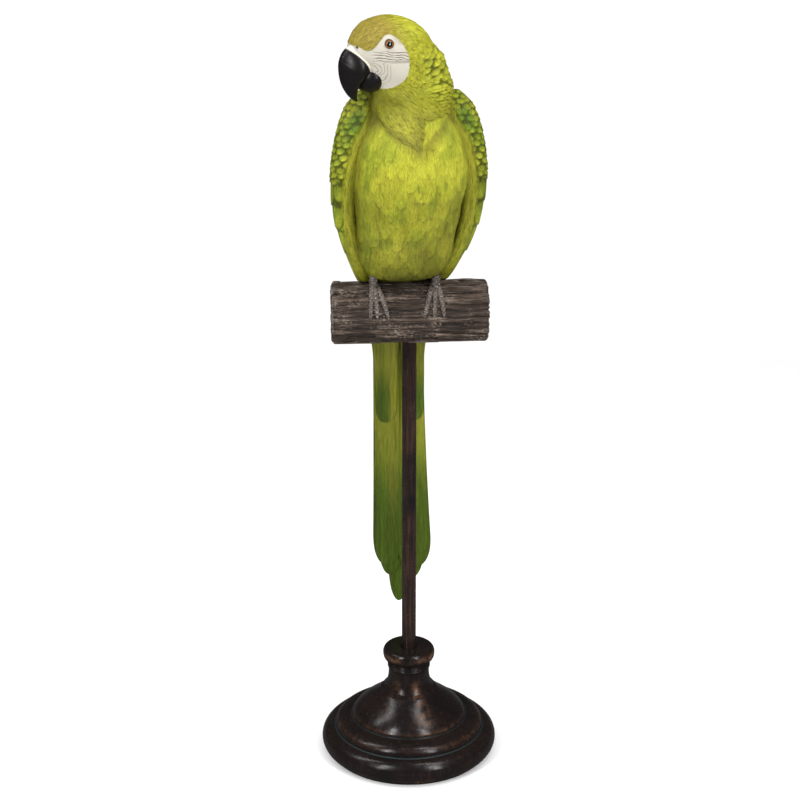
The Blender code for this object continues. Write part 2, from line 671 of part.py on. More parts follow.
def wing_ring(row, side, proud):
    """One level section of a wing: round nose, outer curve to the back, and the inside."""
    height, half, nose_back, rear, nose, thick, cover = row
    half += proud
    rear += proud
    middle = WING_CENTRE + WING_LEAN * (height - WING_STATIONS[-1][0])
    ring = []
    for k in range(WING_NOSE_POINTS):
        angle = math.pi * (1 - k / WING_NOSE_POINTS)
        across = half - nose + nose * math.cos(angle)
        ring.append((across, nose_back - NOSE_DEPTH * nose * math.sin(angle)))
    sweep = 0.5 * math.pi * min(1.0, cover)
    depth = rear - nose_back
    outer = []
    for k in range(WING_OUTER_POINTS + 1):
        angle = sweep * k / WING_OUTER_POINTS
        across = half * math.cos(angle) ** (2 / WING_POWER)
        outer.append((across, nose_back + depth * math.sin(angle) ** (2 / WING_POWER)))
    ring += outer
    inner_share = max(0.05, 1 - thick / half)
    back_share = max(0.05, 1 - thick / max(depth, thick * 1.2))
    for k in range(WING_INNER_POINTS + 1):
        angle = sweep * 0.97 * (1 - k / (WING_INNER_POINTS + 1))
        across = half * inner_share * math.cos(angle) ** (2 / WING_POWER)
        ring.append((across, nose_back + depth * back_share * math.sin(angle) ** (2 / WING_POWER)))
    return [Vector((middle + side * x, y, height)) for x, y in ring]


def wing(side, lowest, proud):
    """A wing, or one layer of its coverts, from its lowest height to the shoulder."""
    rows = [row for row in WING_STATIONS if row[0] >= lowest]
    rings = [wing_ring(row, side, proud) for row in rows]
    if proud:
        first = WING_NOSE_POINTS
        last = WING_NOSE_POINTS + WING_OUTER_POINTS
        for level, ring in enumerate(rings[:3]):
            for k, point in enumerate(ring):
                share = min(1.0, max(0.0, (k - first) / (last - first))) if k <= last else 1.0
                point.z -= COVERT_DROP * share * (1 - level / 3)
    return loft(rings)


def tail_feather(side, root_half, end_half, top, end, layer):
    """One tail feather: a thin, slightly arched blade with a round end."""
    rings = []
    root = Vector(TAIL_ROOT)
    tip = Vector(TAIL_TIP)
    for u in FEATHER_RINGS:
        height = top + (end - top) * u
        middle = root.lerp(tip, (height - root.z) / (tip.z - root.z))
        half = root_half + (end_half - root_half) * u**2
        rounding = math.sqrt(max(0.0, 1 - (max(0.0, u - TIP_START) / (1 - TIP_START)) ** TIP_POWER))
        half *= max(rounding, 0.12)
        thick = 0.5 * FEATHER_THICKNESS * max(rounding, 0.35)
        ring = []
        for k in range(FEATHER_POINTS):
            angle = 2 * math.pi * k / FEATHER_POINTS
            across = side + half * math.cos(angle)
            arch = TAIL_SAG * (across / TAIL_HALF_WIDTH) ** 2
            back = layer * FEATHER_STEP - arch + thick * math.sin(angle)
            ring.append(Vector((middle.x + across, middle.y + back, height)))
        rings.append(ring)
    return loft(rings)


def eye_place(side):
    """The middle of an eye bead, sunk in the side of the head."""
    front, half, taper = (table_values(HEAD_STATIONS, EYE_HEIGHT)[i] for i in (3, 5, 6))
    ahead = EYE_FORWARD / front
    surface = half * (1 - ahead**HEAD_POWER) ** (1 / HEAD_POWER) * (1 - taper * ahead)
    return head_point(EYE_FORWARD, side * (surface - EYE_RADIUS + EYE_PROUD), EYE_HEIGHT)


def bead(side, radius):
    """A ball at the place of an eye."""
    bm = bmesh.new()
    bmesh.ops.create_icosphere(bm, subdivisions=3, radius=radius)
    bmesh.ops.translate(bm, vec=eye_place(side), verts=bm.verts)
    return bm


def thigh(leg_x):
    """The feathered thigh that a leg comes out of."""
    bm = bmesh.new()
    bmesh.ops.create_icosphere(bm, subdivisions=2, radius=1.0)
    bmesh.ops.scale(bm, vec=THIGH_SIZES, verts=bm.verts)
    bmesh.ops.translate(bm, vec=(leg_x, THIGH_BACK, THIGH_HEIGHT), verts=bm.verts)
    return bm


def build_bird(plumage, glass):
    """The bird casting and its two glass eyes."""
    place = bird_frame()

    def put(name, bm):
        bm.transform(place)
        return add_object(name, bm, None)

    bird = add_object("macaw", body(), plumage, 50.0)
    bird.data.transform(place)
    parts = [put("head", head()), put("upper_beak", upper_beak()), put("lower_beak", lower_beak())]
    for feather in TAIL_FEATHERS:
        parts.append(put("tail_feather", tail_feather(*feather)))
    for leg_x in (LEFT_LEG_X, RIGHT_LEG_X):
        parts.append(put("thigh", thigh(leg_x)))
    for side in (-1, 1):
        parts.append(put("wing", wing(side, WING_STATIONS[0][0], 0.0)))
        for lowest, proud in COVERT_LAYERS:
            parts.append(put("coverts", wing(side, lowest, proud)))
    combine(bird, parts, "UNION", "MANIFOLD")
    fill_voids(bird)
    log_room = cylinder(LOG_SKIN + GAP, -LOG_LENGTH, LOG_LENGTH, LOG_SIDES)
    log_room.transform(Matrix.Translation((0, 0, PERCH_HEIGHT)) @ Matrix.Rotation(math.pi / 2, 4, "Y"))
    cutters = [add_object("log_room", log_room, None)] + feet(GAP)
    cutters += [put("socket", bead(side, EYE_RADIUS + GAP)) for side in (-1, 1)]
    combine(bird, cutters, "DIFFERENCE", "MANIFOLD")
    for name, side in (("left_eye", 1), ("right_eye", -1)):
        eye = add_object(name, bead(side, EYE_RADIUS), glass)
        eye.data.transform(place)


def main():
    """Builds the figurine."""
    clear_scene()
    bronze = material("antique_bronze", (0.045, 0.030, 0.024), 0.38, 0.75)
    steel = material("zinc_steel", (0.55, 0.56, 0.58), 0.35, 1.0)
    brass = material("brass", (0.72, 0.52, 0.22), 0.35, 1.0)
    bark = material("painted_bark", (0.075, 0.058, 0.047), 0.8, 0.0)
    plumage = material("painted_plumage", (0.42, 0.44, 0.06), 0.5, 0.0)
    glass = material("eye_glass", (0.30, 0.10, 0.02), 0.1, 0.0)
    build_stand(bronze, steel, brass)
    build_perch(bark)
    build_bird(plumage, glass)


if __name__ == "__main__":
    main()
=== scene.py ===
"""Looks of a painted macaw figurine on a bark log, a thin pole and a turned bronze base.

Lengths are in metres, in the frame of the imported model: +Z up, the origin under the middle of
the base. The bird's own directions are measured from the log's axis: -Y to its front.
"""
import logging
import math
from dataclasses import dataclass
from enum import Enum

import bpy
import numpy as np
from mathutils import Matrix, Vector


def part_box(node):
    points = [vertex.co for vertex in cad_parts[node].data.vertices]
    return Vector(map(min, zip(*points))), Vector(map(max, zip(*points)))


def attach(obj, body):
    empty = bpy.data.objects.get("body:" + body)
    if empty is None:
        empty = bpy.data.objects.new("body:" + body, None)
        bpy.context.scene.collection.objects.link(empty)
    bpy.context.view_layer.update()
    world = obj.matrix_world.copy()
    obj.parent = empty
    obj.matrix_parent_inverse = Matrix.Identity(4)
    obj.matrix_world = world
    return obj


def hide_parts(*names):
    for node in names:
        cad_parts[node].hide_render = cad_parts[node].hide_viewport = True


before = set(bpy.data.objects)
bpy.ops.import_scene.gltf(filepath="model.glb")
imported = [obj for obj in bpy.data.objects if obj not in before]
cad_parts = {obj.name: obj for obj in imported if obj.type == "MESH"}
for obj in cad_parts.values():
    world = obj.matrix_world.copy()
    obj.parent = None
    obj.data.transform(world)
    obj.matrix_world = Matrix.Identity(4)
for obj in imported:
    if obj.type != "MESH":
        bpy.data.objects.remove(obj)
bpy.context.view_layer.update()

LOG = logging.getLogger("macaw_figurine")
Array = np.ndarray
Socket = bpy.types.NodeSocket
Colour = tuple[float, float, float]
Table = tuple[tuple[float, ...], ...]
HASH_PRIMES = (73856093, 19349663, 83492791)
HASH_STIR = 1274126177
HASH_LIMIT = 0xFFFF


class Slot(Enum):
    """The record's material slots of the pieces made here."""

    PLUMAGE = "painted_plumage"
    EYE = "eye_glass"
    BARK = "painted_bark"
    BRONZE = "antique_bronze"


def smoothstep(low: float, high: float, value: Array) -> Array:
    """Rises smoothly from 0 at low to 1 at high, or falls where low is above high.

    Args:
        low: value where the result is 0.
        high: value where the result is 1.
        value: what is tested.

    Returns:
        Shares from 0 to 1.
    """
    share = np.clip((value - low) / (high - low), 0.0, 1.0)
    return share * share * (3.0 - 2.0 * share)


def full_turn(count: int, start: float = 0.0) -> Array:
    """Evenly spaced angles over a full turn, without the last one."""
    return np.linspace(start, start + 2 * math.pi, count, endpoint=False)


def hash_unit(first: Array, second: Array, seed: int) -> Array:
    """Gives repeatable values from 0 to 1 for pairs of whole numbers.

    Args:
        first: whole numbers.
        second: whole numbers.
        seed: picks another set of values.

    Returns:
        One value for each pair.
    """
    mixed = first.astype(np.int64) * HASH_PRIMES[0] ^ second.astype(np.int64) * HASH_PRIMES[1]
    mixed = mixed ^ (seed * HASH_PRIMES[2])
    mixed = (mixed ^ (mixed >> 13)) * HASH_STIR
    return ((mixed ^ (mixed >> 16)) & HASH_LIMIT) / HASH_LIMIT


def soft_noise(across: Array, along: Array, seed: int = 0) -> Array:
    """Smooth noise over a plane.

    Args:
        across: first coordinate, one cell for each unit.
        along: second coordinate.
        seed: picks another pattern.

    Returns:
        Values from 0 to 1.
    """
    column, row = np.floor(across), np.floor(along)
    u, v = across - column, along - row
    u, v = u * u * (3 - 2 * u), v * v * (3 - 2 * v)
    low = hash_unit(column, row, seed) * (1 - u) + hash_unit(column + 1, row, seed) * u
    high = hash_unit(column, row + 1, seed) * (1 - u) + hash_unit(column + 1, row + 1, seed) * u
    return low * (1 - v) + high * v


@dataclass(frozen=True)
class StationTable:
    """Smooth curves through rows of values whose first column rises steadily."""

    rows: Table

    def at(self, heights: Array) -> Array:
        """Reads all other columns at some heights.

        Args:
            heights: values of the first column.

        Returns:
            One array of values for each other column.
        """
        table = np.array(self.rows)
        slopes = np.gradient(table, table[:, 0], axis=0)
        index = np.clip(np.searchsorted(table[:, 0], heights, side="right") - 1, 0, len(table) - 2)
        span = table[index + 1, 0] - table[index, 0]
        u = np.clip((heights - table[index, 0]) / span, 0.0, 1.0)[..., None]
        span = span[..., None]
        values = (
            table[index] * (2 * u**3 - 3 * u**2 + 1)
            + slopes[index] * span * (u**3 - 2 * u**2 + u)
            + table[index + 1] * (3 * u**2 - 2 * u**3)
            + slopes[index + 1] * span * (u**3 - u**2)
        )
        return np.moveaxis(values, -1, 0)[1:]


@dataclass(frozen=True)
class FeatherCoat:
    """Overlapping feathers laid in rows like roof tiles.

    The rows run across and the feathers point along, each row over the one after it.
    """

    width: float
    pitch: float
    length: float
    jitter: float = 0.2
    tip: float = 0.55
    seed: int = 1
    half_share: float = 0.58
    roundness: float = 2.2
    side_rim: float = 0.13
    end_rim: float = 0.09
    crown_fall: float = 0.35

    def lay(self, across: Array, along: Array) -> dict[str, Array]:
        """Lays the coat over a surface.

        Args:
            across: distance over the rows' direction.
            along: distance in the direction that the feathers point.

        Returns:
            rise, the share of a feather's thickness; rim, 0 at a feather's edge and 1 inside;
            tone, a value of its own for each feather; side, from -1 to 1 over its vane.
        """
        rise = np.zeros_like(across)
        rim = np.ones_like(across)
        tone = np.full_like(across, 0.5)
        side = np.zeros_like(across)
        first = np.floor(along / self.pitch)
        for back in range(int(math.ceil(self.length / self.pitch)) + 1):
            row = first - back
            shift = np.where(row % 2 == 0, 0.0, 0.5)
            nearest = np.round(across / self.width - shift)
            for step in (-1, 1, 0):
                column = nearest + step
                wobble = self.jitter * (hash_unit(column, row, self.seed) - 0.5)
                slip = self.jitter * self.pitch * (hash_unit(column, row, self.seed + 7) - 0.5)
                middle = (column + shift + wobble) * self.width
                reach = (along - row * self.pitch - slip) / self.length
                rounding = np.clip((reach - self.tip) / (1 - self.tip), 0.0, 1.0)
                half = self.half_share * self.width * np.sqrt(np.clip(1 - rounding**self.roundness, 0.0, 1.0))
                offset = across - middle
                inside = (np.abs(offset) < half) & (reach > 0) & (reach < 1)
                edge = np.minimum((half - np.abs(offset)) / (self.side_rim * self.width),
                                  (1 - reach) / self.end_rim)
                crown = 1 - self.crown_fall * np.clip(np.abs(offset) / np.maximum(half, 1e-6), 0, 1) ** 2
                rise = np.where(inside, reach * crown, rise)
                rim = np.where(inside, np.clip(edge, 0.0, 1.0), rim)
                tone = np.where(inside, hash_unit(column, row, self.seed + 3), tone)
                side = np.where(inside, offset / np.maximum(half, 1e-6), side)
        return {"rise": rise, "rim": rim, "tone": tone, "side": side}


def hair(across: Array, along: Array, width: float, length: float, seed: int) -> Array:
    """Fine strokes that run along a surface.

    Args:
        across: distance over the strokes.
        along: distance in their direction.
        width: width of a stroke.
        length: length of a stroke.
        seed: picks another pattern.

    Returns:
        Values from -0.5 to 0.5.
    """
    sway = 1.6 * width * (soft_noise(across / (9 * width), along / (2 * length), seed) - 0.5)
    coarse = soft_noise((across + sway) / width, along / length, seed + 1)
    fine = soft_noise((across - sway) / (0.5 * width), along / (0.6 * length), seed + 2)
    return 0.65 * coarse + 0.35 * fine - 0.5


def face_outward(points: Array) -> Array:
    """Finds the outward directions of a closed sheet of rings.

    Args:
        points: rings of points, as rows by columns by 3.

    Returns:
        Unit vectors of the same shape.
    """
    around = np.roll(points, -1, axis=1) - np.roll(points, 1, axis=1)
    up = np.gradient(points, axis=0)
    normal = np.cross(around, up)
    normal /= np.maximum(np.linalg.norm(normal, axis=2, keepdims=True), 1e-12)
    spokes = points - points.mean(axis=1, keepdims=True)
    return -normal if np.sum(normal * spokes) < 0 else normal


def raise_relief(points: Array, relief: Array) -> Array:
    """Moves each point of a closed sheet outward by its relief."""
    return points + face_outward(points) * relief[..., None]


def ring_mesh(name: str, points: Array, masks: dict[str, Array] | None = None, flow: Array | None = None,
              bored: bool = False) -> bpy.types.Object:
    """Skins rings into one closed mesh and stores its paint masks.

    Args:
        name: the piece's name.
        points: rings of points, as rows by columns by 3.
        masks: values at each point, from 0 to 1, by attribute name.
        flow: across and along distances at each point, for strokes.
        bored: joins the last ring to the first, as on a turned hollow piece.

    Returns:
        The new object.
    """
    rows, columns = points.shape[:2]
    corner = np.arange(rows * columns).reshape(rows, columns)
    low = corner if bored else corner[:-1]
    high = np.roll(corner, -1, axis=0) if bored else corner[1:]
    quads = np.stack([low, np.roll(low, -1, axis=1), np.roll(high, -1, axis=1), high], axis=-1).reshape(-1, 4)
    vertices = points.reshape(-1, 3)
    faces = [quads]
    if not bored:
        vertices = np.vstack([vertices, points[0].mean(axis=0), points[-1].mean(axis=0)])
        start, end = len(vertices) - 2, len(vertices) - 1
        first, last = corner[0], corner[-1]
        faces.append(np.stack([np.roll(first, -1), first, np.full(columns, start)], axis=-1))
        faces.append(np.stack([last, np.roll(last, -1), np.full(columns, end)], axis=-1))
    a, b, c, d = (vertices[quads[:, i]] for i in range(4))
    if np.sum(np.einsum("ij,ij->i", a, np.cross(b, c)) + np.einsum("ij,ij->i", a, np.cross(c, d))) < 0:
        faces = [group[:, ::-1] for group in faces]
    mesh = bpy.data.meshes.new(name)
    mesh.vertices.add(len(vertices))
    mesh.vertices.foreach_set("co", vertices.astype(np.float32).ravel())
    corners = np.concatenate([group.ravel() for group in faces])
    sizes = np.concatenate([np.full(len(group), group.shape[1]) for group in faces])
    mesh.loops.add(len(corners))
    mesh.loops.foreach_set("vertex_index", corners.astype(np.int32))
    mesh.polygons.add(len(sizes))
    mesh.polygons.foreach_set("loop_start", np.concatenate([[0], np.cumsum(sizes)[:-1]]).astype(np.int32))
    mesh.update(calc_edges=True)
    mesh.validate()
    mesh.shade_smooth()
    for label, values in (masks or {}).items():
        values = np.clip(np.broadcast_to(values, (rows, columns)), 0.0, 1.0)
        ends = [] if bored else [values[0].mean(), values[-1].mean()]
        layer = mesh.attributes.new(label, "FLOAT", "POINT")
        layer.data.foreach_set("value", np.concatenate([values.ravel(), ends]).astype(np.float32))
    if flow is not None:
        full = np.concatenate([flow, np.zeros((rows, columns, 1))], axis=2).reshape(-1, 3)
        ends = np.zeros((0 if bored else 2, 3))
        layer = mesh.attributes.new("flow", "FLOAT_VECTOR", "POINT")
        layer.data.foreach_set("vector", np.vstack([full, ends]).astype(np.float32).ravel())
    piece = bpy.data.objects.new(name, mesh)
    bpy.context.scene.collection.objects.link(piece)
    return piece


def hand_in(piece: bpy.types.Object, material: bpy.types.Material, slot: Slot, *nodes: str) -> None:
    """Dresses a piece, fixes it to the frame and lets it stand for its CAD nodes.

    Args:
        piece: the piece in its place.
        material: its finish.
        slot: the record's slot of that finish; not used.
        nodes: the CAD nodes that it stands for.
    """
    piece.data.materials.clear()
    piece.data.materials.append(material)
    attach(piece, "root")
    if nodes:
        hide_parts(*nodes)
    LOG.info("%s: %d faces", piece.name, len(piece.data.polygons))


class Shader:
    """Short calls for building one material or one node group."""

    def __init__(self, tree: bpy.types.NodeTree) -> None:
        """Keeps the node tree that the calls add to."""
        self.tree = tree

    def node(self, kind: str, inputs: dict | None = None, **settings: object) -> bpy.types.Node:
        """Adds a node.

        Args:
            kind: the node's type.
            inputs: sockets to link or values to set, by input name or number.
            settings: the node's own options.

        Returns:
            The new node.
        """
        made = self.tree.nodes.new(kind)
        for key, value in settings.items():
            setattr(made, key, value)
        self.fill(made, inputs or {})
        return made

    def fill(self, made: bpy.types.Node, inputs: dict) -> None:
        """Links or sets several inputs of a node."""
        for key, value in inputs.items():
            self.feed(made.inputs[key], value)

    def feed(self, target: Socket, value: object) -> None:
        """Links a socket to an input, or sets the input's value.

        Args:
            target: the input.
            value: a socket to link, or a value to set.
        """
        if isinstance(value, bpy.types.NodeSocket):
            self.tree.links.new(value, target)
        elif isinstance(value, tuple) and len(value) == 3 and target.type == "RGBA":
            target.default_value = (*value, 1.0)
        else:
            target.default_value = value

    def attribute(self, name: str, vector: bool = False) -> Socket:
        """Reads a mask or a vector stored on the mesh."""
        return self.node("ShaderNodeAttribute", attribute_name=name).outputs["Vector" if vector else "Fac"]

    def math(self, operation: str, first: object, second: object = 0.0) -> Socket:
        """Works out one number from two."""
        return self.node("ShaderNodeMath", {0: first, 1: second}, operation=operation).outputs[0]

    def times(self, first: object, second: object) -> Socket:
        """Multiplies two numbers."""
        return self.math("MULTIPLY", first, second)

    def span(self, value: object, low: float, high: float, start: float = 0.0, end: float = 1.0) -> Socket:
        """Maps a range of a value to another range, clamped at its ends."""
        ends = {"Value": value, "From Min": low, "From Max": high, "To Min": start, "To Max": end}
        return self.node("ShaderNodeMapRange", ends).outputs[0]

    def mix(self, share: object, first: object, second: object, blend: str = "MIX") -> Socket:
        """Mixes two colours by a share.

        Args:
            share: how much of the second colour shows, from 0 to 1.
            first: the first colour.
            second: the second colour.
            blend: how the second colour is laid over the first.

        Returns:
            The mixed colour.
        """
        made = self.node("ShaderNodeMix", data_type="RGBA", blend_type=blend)
        self.feed(made.inputs[0], share)
        self.feed(made.inputs[6], first)
        self.feed(made.inputs[7], second)
        return made.outputs[2]

    def noise(self, vector: Socket, scale: float, detail: float = 3.0, rough: float = 0.55) -> Socket:
        """Reads noise at a vector."""
        inputs = {"Vector": vector, "Scale": scale, "Detail": detail, "Roughness": rough}
        return self.node("ShaderNodeTexNoise", inputs).outputs["Fac"]

    def place(self) -> Socket:
        """Reads the point's place on the object."""
        return self.node("ShaderNodeTexCoord").outputs["Object"]

    def stretch(self, vector: Socket, scale: tuple[float, float, float]) -> Socket:
        """Scales a vector along its axes."""
        return self.node("ShaderNodeMapping", {"Vector": vector, "Scale": scale}).outputs[0]

    def bump(self, height: Socket, distance: float, strength: float, normal: Socket | None = None) -> Socket:
        """Turns heights into a normal.

        Args:
            height: the heights, from 0 to 1.
            distance: how far a height of 1 stands out, in metres.
            strength: how much of the relief shows.
            normal: a normal that the relief is laid over.

        Returns:
            The new normal.
        """
        inputs = {"Height": height, "Distance": distance, "Strength": strength}
        if normal is not None:
            inputs["Normal"] = normal
        return self.node("ShaderNodeBump", inputs).outputs[0]


def new_material(name: str) -> tuple[bpy.types.Material, Shader, bpy.types.Node]:
    """Starts a material.

    Args:
        name: the material's name.

    Returns:
        The material, calls for its node tree, and its Principled shader.
    """
    material = bpy.data.materials.new(name)
    material.use_nodes = True
    return material, Shader(material.node_tree), material.node_tree.nodes["Principled BSDF"]


class EffectGroup:
    """A shader node group with named inputs and outputs, built once."""

    def __init__(self, name: str, inputs: dict[str, tuple[str, object]], outputs: dict[str, str]) -> None:
        """Makes the group's tree and sockets.

        Args:
            name: the group's name.
            inputs: socket type and default value, by name.
            outputs: socket type, by name.
        """
        self.tree = bpy.data.node_groups.new(name, "ShaderNodeTree")
        for label, (kind, value) in inputs.items():
            made = self.tree.interface.new_socket(name=label, in_out="INPUT", socket_type=kind)
            if kind != "NodeSocketVector":
                made.default_value = value
        for label, kind in outputs.items():
            self.tree.interface.new_socket(name=label, in_out="OUTPUT", socket_type=kind)
        self.calls = Shader(self.tree)
        self.inlet = self.tree.nodes.new("NodeGroupInput").outputs
        self.outlet = self.tree.nodes.new("NodeGroupOutput").inputs

    def use(self, shader: Shader, inputs: dict) -> bpy.types.Node:
        """Places the group in a material with its own values.

        Args:
            shader: calls for the material's node tree.
            inputs: value or socket, by the input's name.

        Returns:
            The group's node.
        """
        made = shader.node("ShaderNodeGroup", node_tree=self.tree)
        shader.fill(made, inputs)
        return made


class Effects:
    """The effects that several finishes share."""

    def __init__(self) -> None:
        """Builds the groups."""
        self.strokes = self.build_strokes()
        self.patches = self.build_patches()

    def build_strokes(self) -> EffectGroup:
        """Brush-fine strokes along the flow stored on a mesh.

        Returns:
            The group, with a fine and a coarse stroke value.
        """
        group = EffectGroup(
            "fine_strokes",
            {"Width": ("NodeSocketFloat", 0.0007), "Length": ("NodeSocketFloat", 0.006)},
            {"Fine": "NodeSocketFloat", "Coarse": "NodeSocketFloat"},
        )
        calls = group.calls
        flow = calls.attribute("flow", vector=True)
        parts = calls.node("ShaderNodeSeparateXYZ", {0: flow}).outputs
        sway = calls.noise(calls.stretch(flow, (160.0, 60.0, 1.0)), 1.0, 2.0)
        across = calls.math("ADD", calls.math("DIVIDE", parts[0], group.inlet["Width"]),
                            calls.times(sway, 5.0))
        along = calls.math("DIVIDE", parts[1], group.inlet["Length"])
        place = calls.node("ShaderNodeCombineXYZ", {0: across, 1: along}).outputs[0]
        calls.feed(group.outlet["Fine"], calls.span(calls.noise(place, 1.0, 2.0, 0.6), 0.3, 0.7))
        wide = calls.stretch(place, (0.38, 0.45, 1.0))
        calls.feed(group.outlet["Coarse"], calls.span(calls.noise(wide, 1.0, 3.0, 0.6), 0.32, 0.68))
        return group

    def build_patches(self) -> EffectGroup:
        """Soft uneven patches, and small specks, over any surface.

        Returns:
            The group, with a patch and a speck value.
        """
        group = EffectGroup(
            "uneven_paint",
            {"Scale": ("NodeSocketFloat", 40.0), "Speck Scale": ("NodeSocketFloat", 900.0)},
            {"Patches": "NodeSocketFloat", "Specks": "NodeSocketFloat"},
        )
        calls = group.calls
        place = calls.place()
        spread = {"Vector": place, "Scale": group.inlet["Scale"], "Detail": 4.0}
        broad = calls.node("ShaderNodeTexNoise", spread)
        small = calls.node("ShaderNodeTexNoise", {"Vector": place, "Scale": group.inlet["Speck Scale"]})
        calls.feed(group.outlet["Patches"], calls.span(broad.outputs["Fac"], 0.33, 0.67))
        calls.feed(group.outlet["Specks"], calls.span(small.outputs["Fac"], 0.62, 0.76))
        return group


BIRD_YAW = math.radians(5.0)
POLE_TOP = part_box("pole_tube")[1].z
PERCH_HEIGHT = POLE_TOP + 0.0207
LOG_RADIUS = 0.0254
LOG_SKIN = 0.0265
LOG_HALF = 0.0640

TRUNK = StationTable((
    (-0.0230, -0.0035, 0.0370, 0.0150, 0.0050, 0.0075),
    (-0.0080, -0.0035, 0.0345, 0.0215, 0.0090, 0.0105),
    (0.0080, -0.0035, 0.0300, 0.0265, 0.0140, 0.0145),
    (0.0200, -0.0036, 0.0210, 0.0300, 0.0170, 0.0230),
    (0.0280, -0.0037, 0.0150, 0.0325, 0.0195, 0.0285),
    (0.0360, -0.0038, 0.0100, 0.0350, 0.0330, 0.0330),
    (0.0500, -0.0045, 0.0030, 0.0385, 0.0420, 0.0395),
    (0.0700, -0.0045, -0.0030, 0.0400, 0.0470, 0.0450),
    (0.0950, -0.0030, -0.0070, 0.0430, 0.0500, 0.0480),
    (0.1200, -0.0015, -0.0090, 0.0460, 0.0500, 0.0490),
    (0.1400, -0.0013, -0.0100, 0.0435, 0.0470, 0.0470),
    (0.1570, -0.0008, -0.0110, 0.0375, 0.0420, 0.0430),
    (0.1720, -0.0007, -0.0115, 0.0300, 0.0340, 0.0350),
    (0.1880, -0.0020, -0.0120, 0.0220, 0.0230, 0.0250),
))
TRUNK_POWER = 2.15
HEAD = StationTable((
    (0.1510, -0.0002, -0.0107, 0.0, 0.0462, 0.0400, 0.0408, 0.0),
    (0.1630, -0.0005, -0.0115, 12.0, 0.0398, 0.0380, 0.0362, 0.0),
    (0.1730, -0.0008, -0.0118, 27.0, 0.0335, 0.0365, 0.0325, 0.0),
    (0.1830, -0.0017, -0.0119, 42.0, 0.0275, 0.0355, 0.0290, 0.1),
    (0.1900, -0.0049, -0.0134, 53.0, 0.0265, 0.0395, 0.0290, 0.28),
    (0.1970, -0.0099, -0.0132, 60.0, 0.0262, 0.0420, 0.0290, 0.42),
    (0.2030, -0.0150, -0.0130, 66.0, 0.0275, 0.0450, 0.0290, 0.44),
    (0.2090, -0.0175, -0.0127, 68.0, 0.0305, 0.0450, 0.0290, 0.42),
    (0.2150, -0.0175, -0.0127, 68.0, 0.0325, 0.0430, 0.0285, 0.38),
    (0.2208, -0.0180, -0.0127, 68.0, 0.0348, 0.0380, 0.0275, 0.34),
    (0.2267, -0.0185, -0.0126, 68.0, 0.0340, 0.0340, 0.0262, 0.28),
    (0.2325, -0.0192, -0.0125, 68.0, 0.0308, 0.0312, 0.0242, 0.2),
    (0.2385, -0.0198, -0.0124, 68.0, 0.0260, 0.0262, 0.0203, 0.1),
    (0.2440, -0.0202, -0.0123, 68.0, 0.0182, 0.0182, 0.0138, 0.0),
    (0.2470, -0.0202, -0.0123, 68.0, 0.0100, 0.0100, 0.0078, 0.0),
))
HEAD_POWER = 2.5
CAPE_FOOT = 0.1510
CAPE_AXIS = (-0.0002, -0.0107)
CROWN_RING = 0.2470
CROWN_AXIS = (-0.0202, -0.0123)
CREASE_PHASES = 16
HEAD_AXIS = (-0.0175, -0.0127)
HEAD_TURN = math.radians(68.0)
WING = StationTable((
    (-0.0560, 0.0060, 0.0490, 0.0520, 0.0010, 0.0020, 0.80),
    (-0.0500, 0.0120, 0.0450, 0.0518, 0.0018, 0.0036, 0.90),
    (-0.0380, 0.0170, 0.0410, 0.0512, 0.0024, 0.0048, 0.93),
    (-0.0200, 0.0225, 0.0350, 0.0492, 0.0032, 0.0064, 0.95),
    (0.0000, 0.0275, 0.0260, 0.0482, 0.0040, 0.0080, 0.96),
    (0.0180, 0.0335, 0.0130, 0.0475, 0.0048, 0.0100, 0.96),
    (0.0320, 0.0400, 0.0030, 0.0470, 0.0056, 0.0120, 0.95),
    (0.0450, 0.0455, -0.0025, 0.0465, 0.0062, 0.0140, 0.94),
    (0.0600, 0.0515, -0.0070, 0.0460, 0.0070, 0.0160, 0.92),
    (0.0780, 0.0568, -0.0100, 0.0455, 0.0078, 0.0180, 0.90),
    (0.0980, 0.0602, -0.0118, 0.0445, 0.0088, 0.0200, 0.88),
    (0.1180, 0.0612, -0.0120, 0.0430, 0.0104, 0.0226, 0.84),
    (0.1380, 0.0594, -0.0110, 0.0400, 0.0124, 0.0250, 0.76),
    (0.1540, 0.0564, -0.0090, 0.0350, 0.0138, 0.0262, 0.64),
    (0.1665, 0.0522, -0.0060, 0.0270, 0.0134, 0.0250, 0.52),
    (0.1755, 0.0478, -0.0030, 0.0170, 0.0112, 0.0200, 0.42),
    (0.1810, 0.0432, 0.0000, 0.0080, 0.0068, 0.0120, 0.34),
    (0.1840, 0.0400, 0.0015, 0.0045, 0.0026, 0.0050, 0.30),
))
WING_FOOT = -0.0560
WING_TOP = 0.1840
WING_POWER = 2.2
BEAK = StationTable((
    (-84.0, 0.0290, 0.0030, 0.0135),
    (-56.0, 0.0305, 0.0030, 0.0150),
    (-38.0, 0.0277, 0.0030, 0.0146),
    (-20.0, 0.0240, 0.0032, 0.0130),
    (0.0, 0.0212, 0.0045, 0.0106),
    (22.0, 0.0194, 0.0075, 0.0080),
    (42.0, 0.0188, 0.0112, 0.0054),
    (56.0, 0.0188, 0.0146, 0.0031),
    (65.0, 0.0188, 0.0172, 0.0013),
))

BEAK_ROOT = -84.0
BEAK_TIP = 65.0
TAIL_ROOT = (-0.0038, 0.0370, 0.0220)
TAIL_TIP = (0.0015, 0.0575, -0.2910)


def on_perch(points: Array) -> Array:
    """Moves points from the bird's own directions into the frame.

    Args:
        points: places in the bird's own directions.

    Returns:
        Places in the frame.
    """
    cos, sin = math.cos(BIRD_YAW), math.sin(BIRD_YAW)
    x, y, z = np.moveaxis(points, -1, 0)
    return np.stack([cos * x - sin * y, sin * x + cos * y, z + PERCH_HEIGHT], axis=-1)


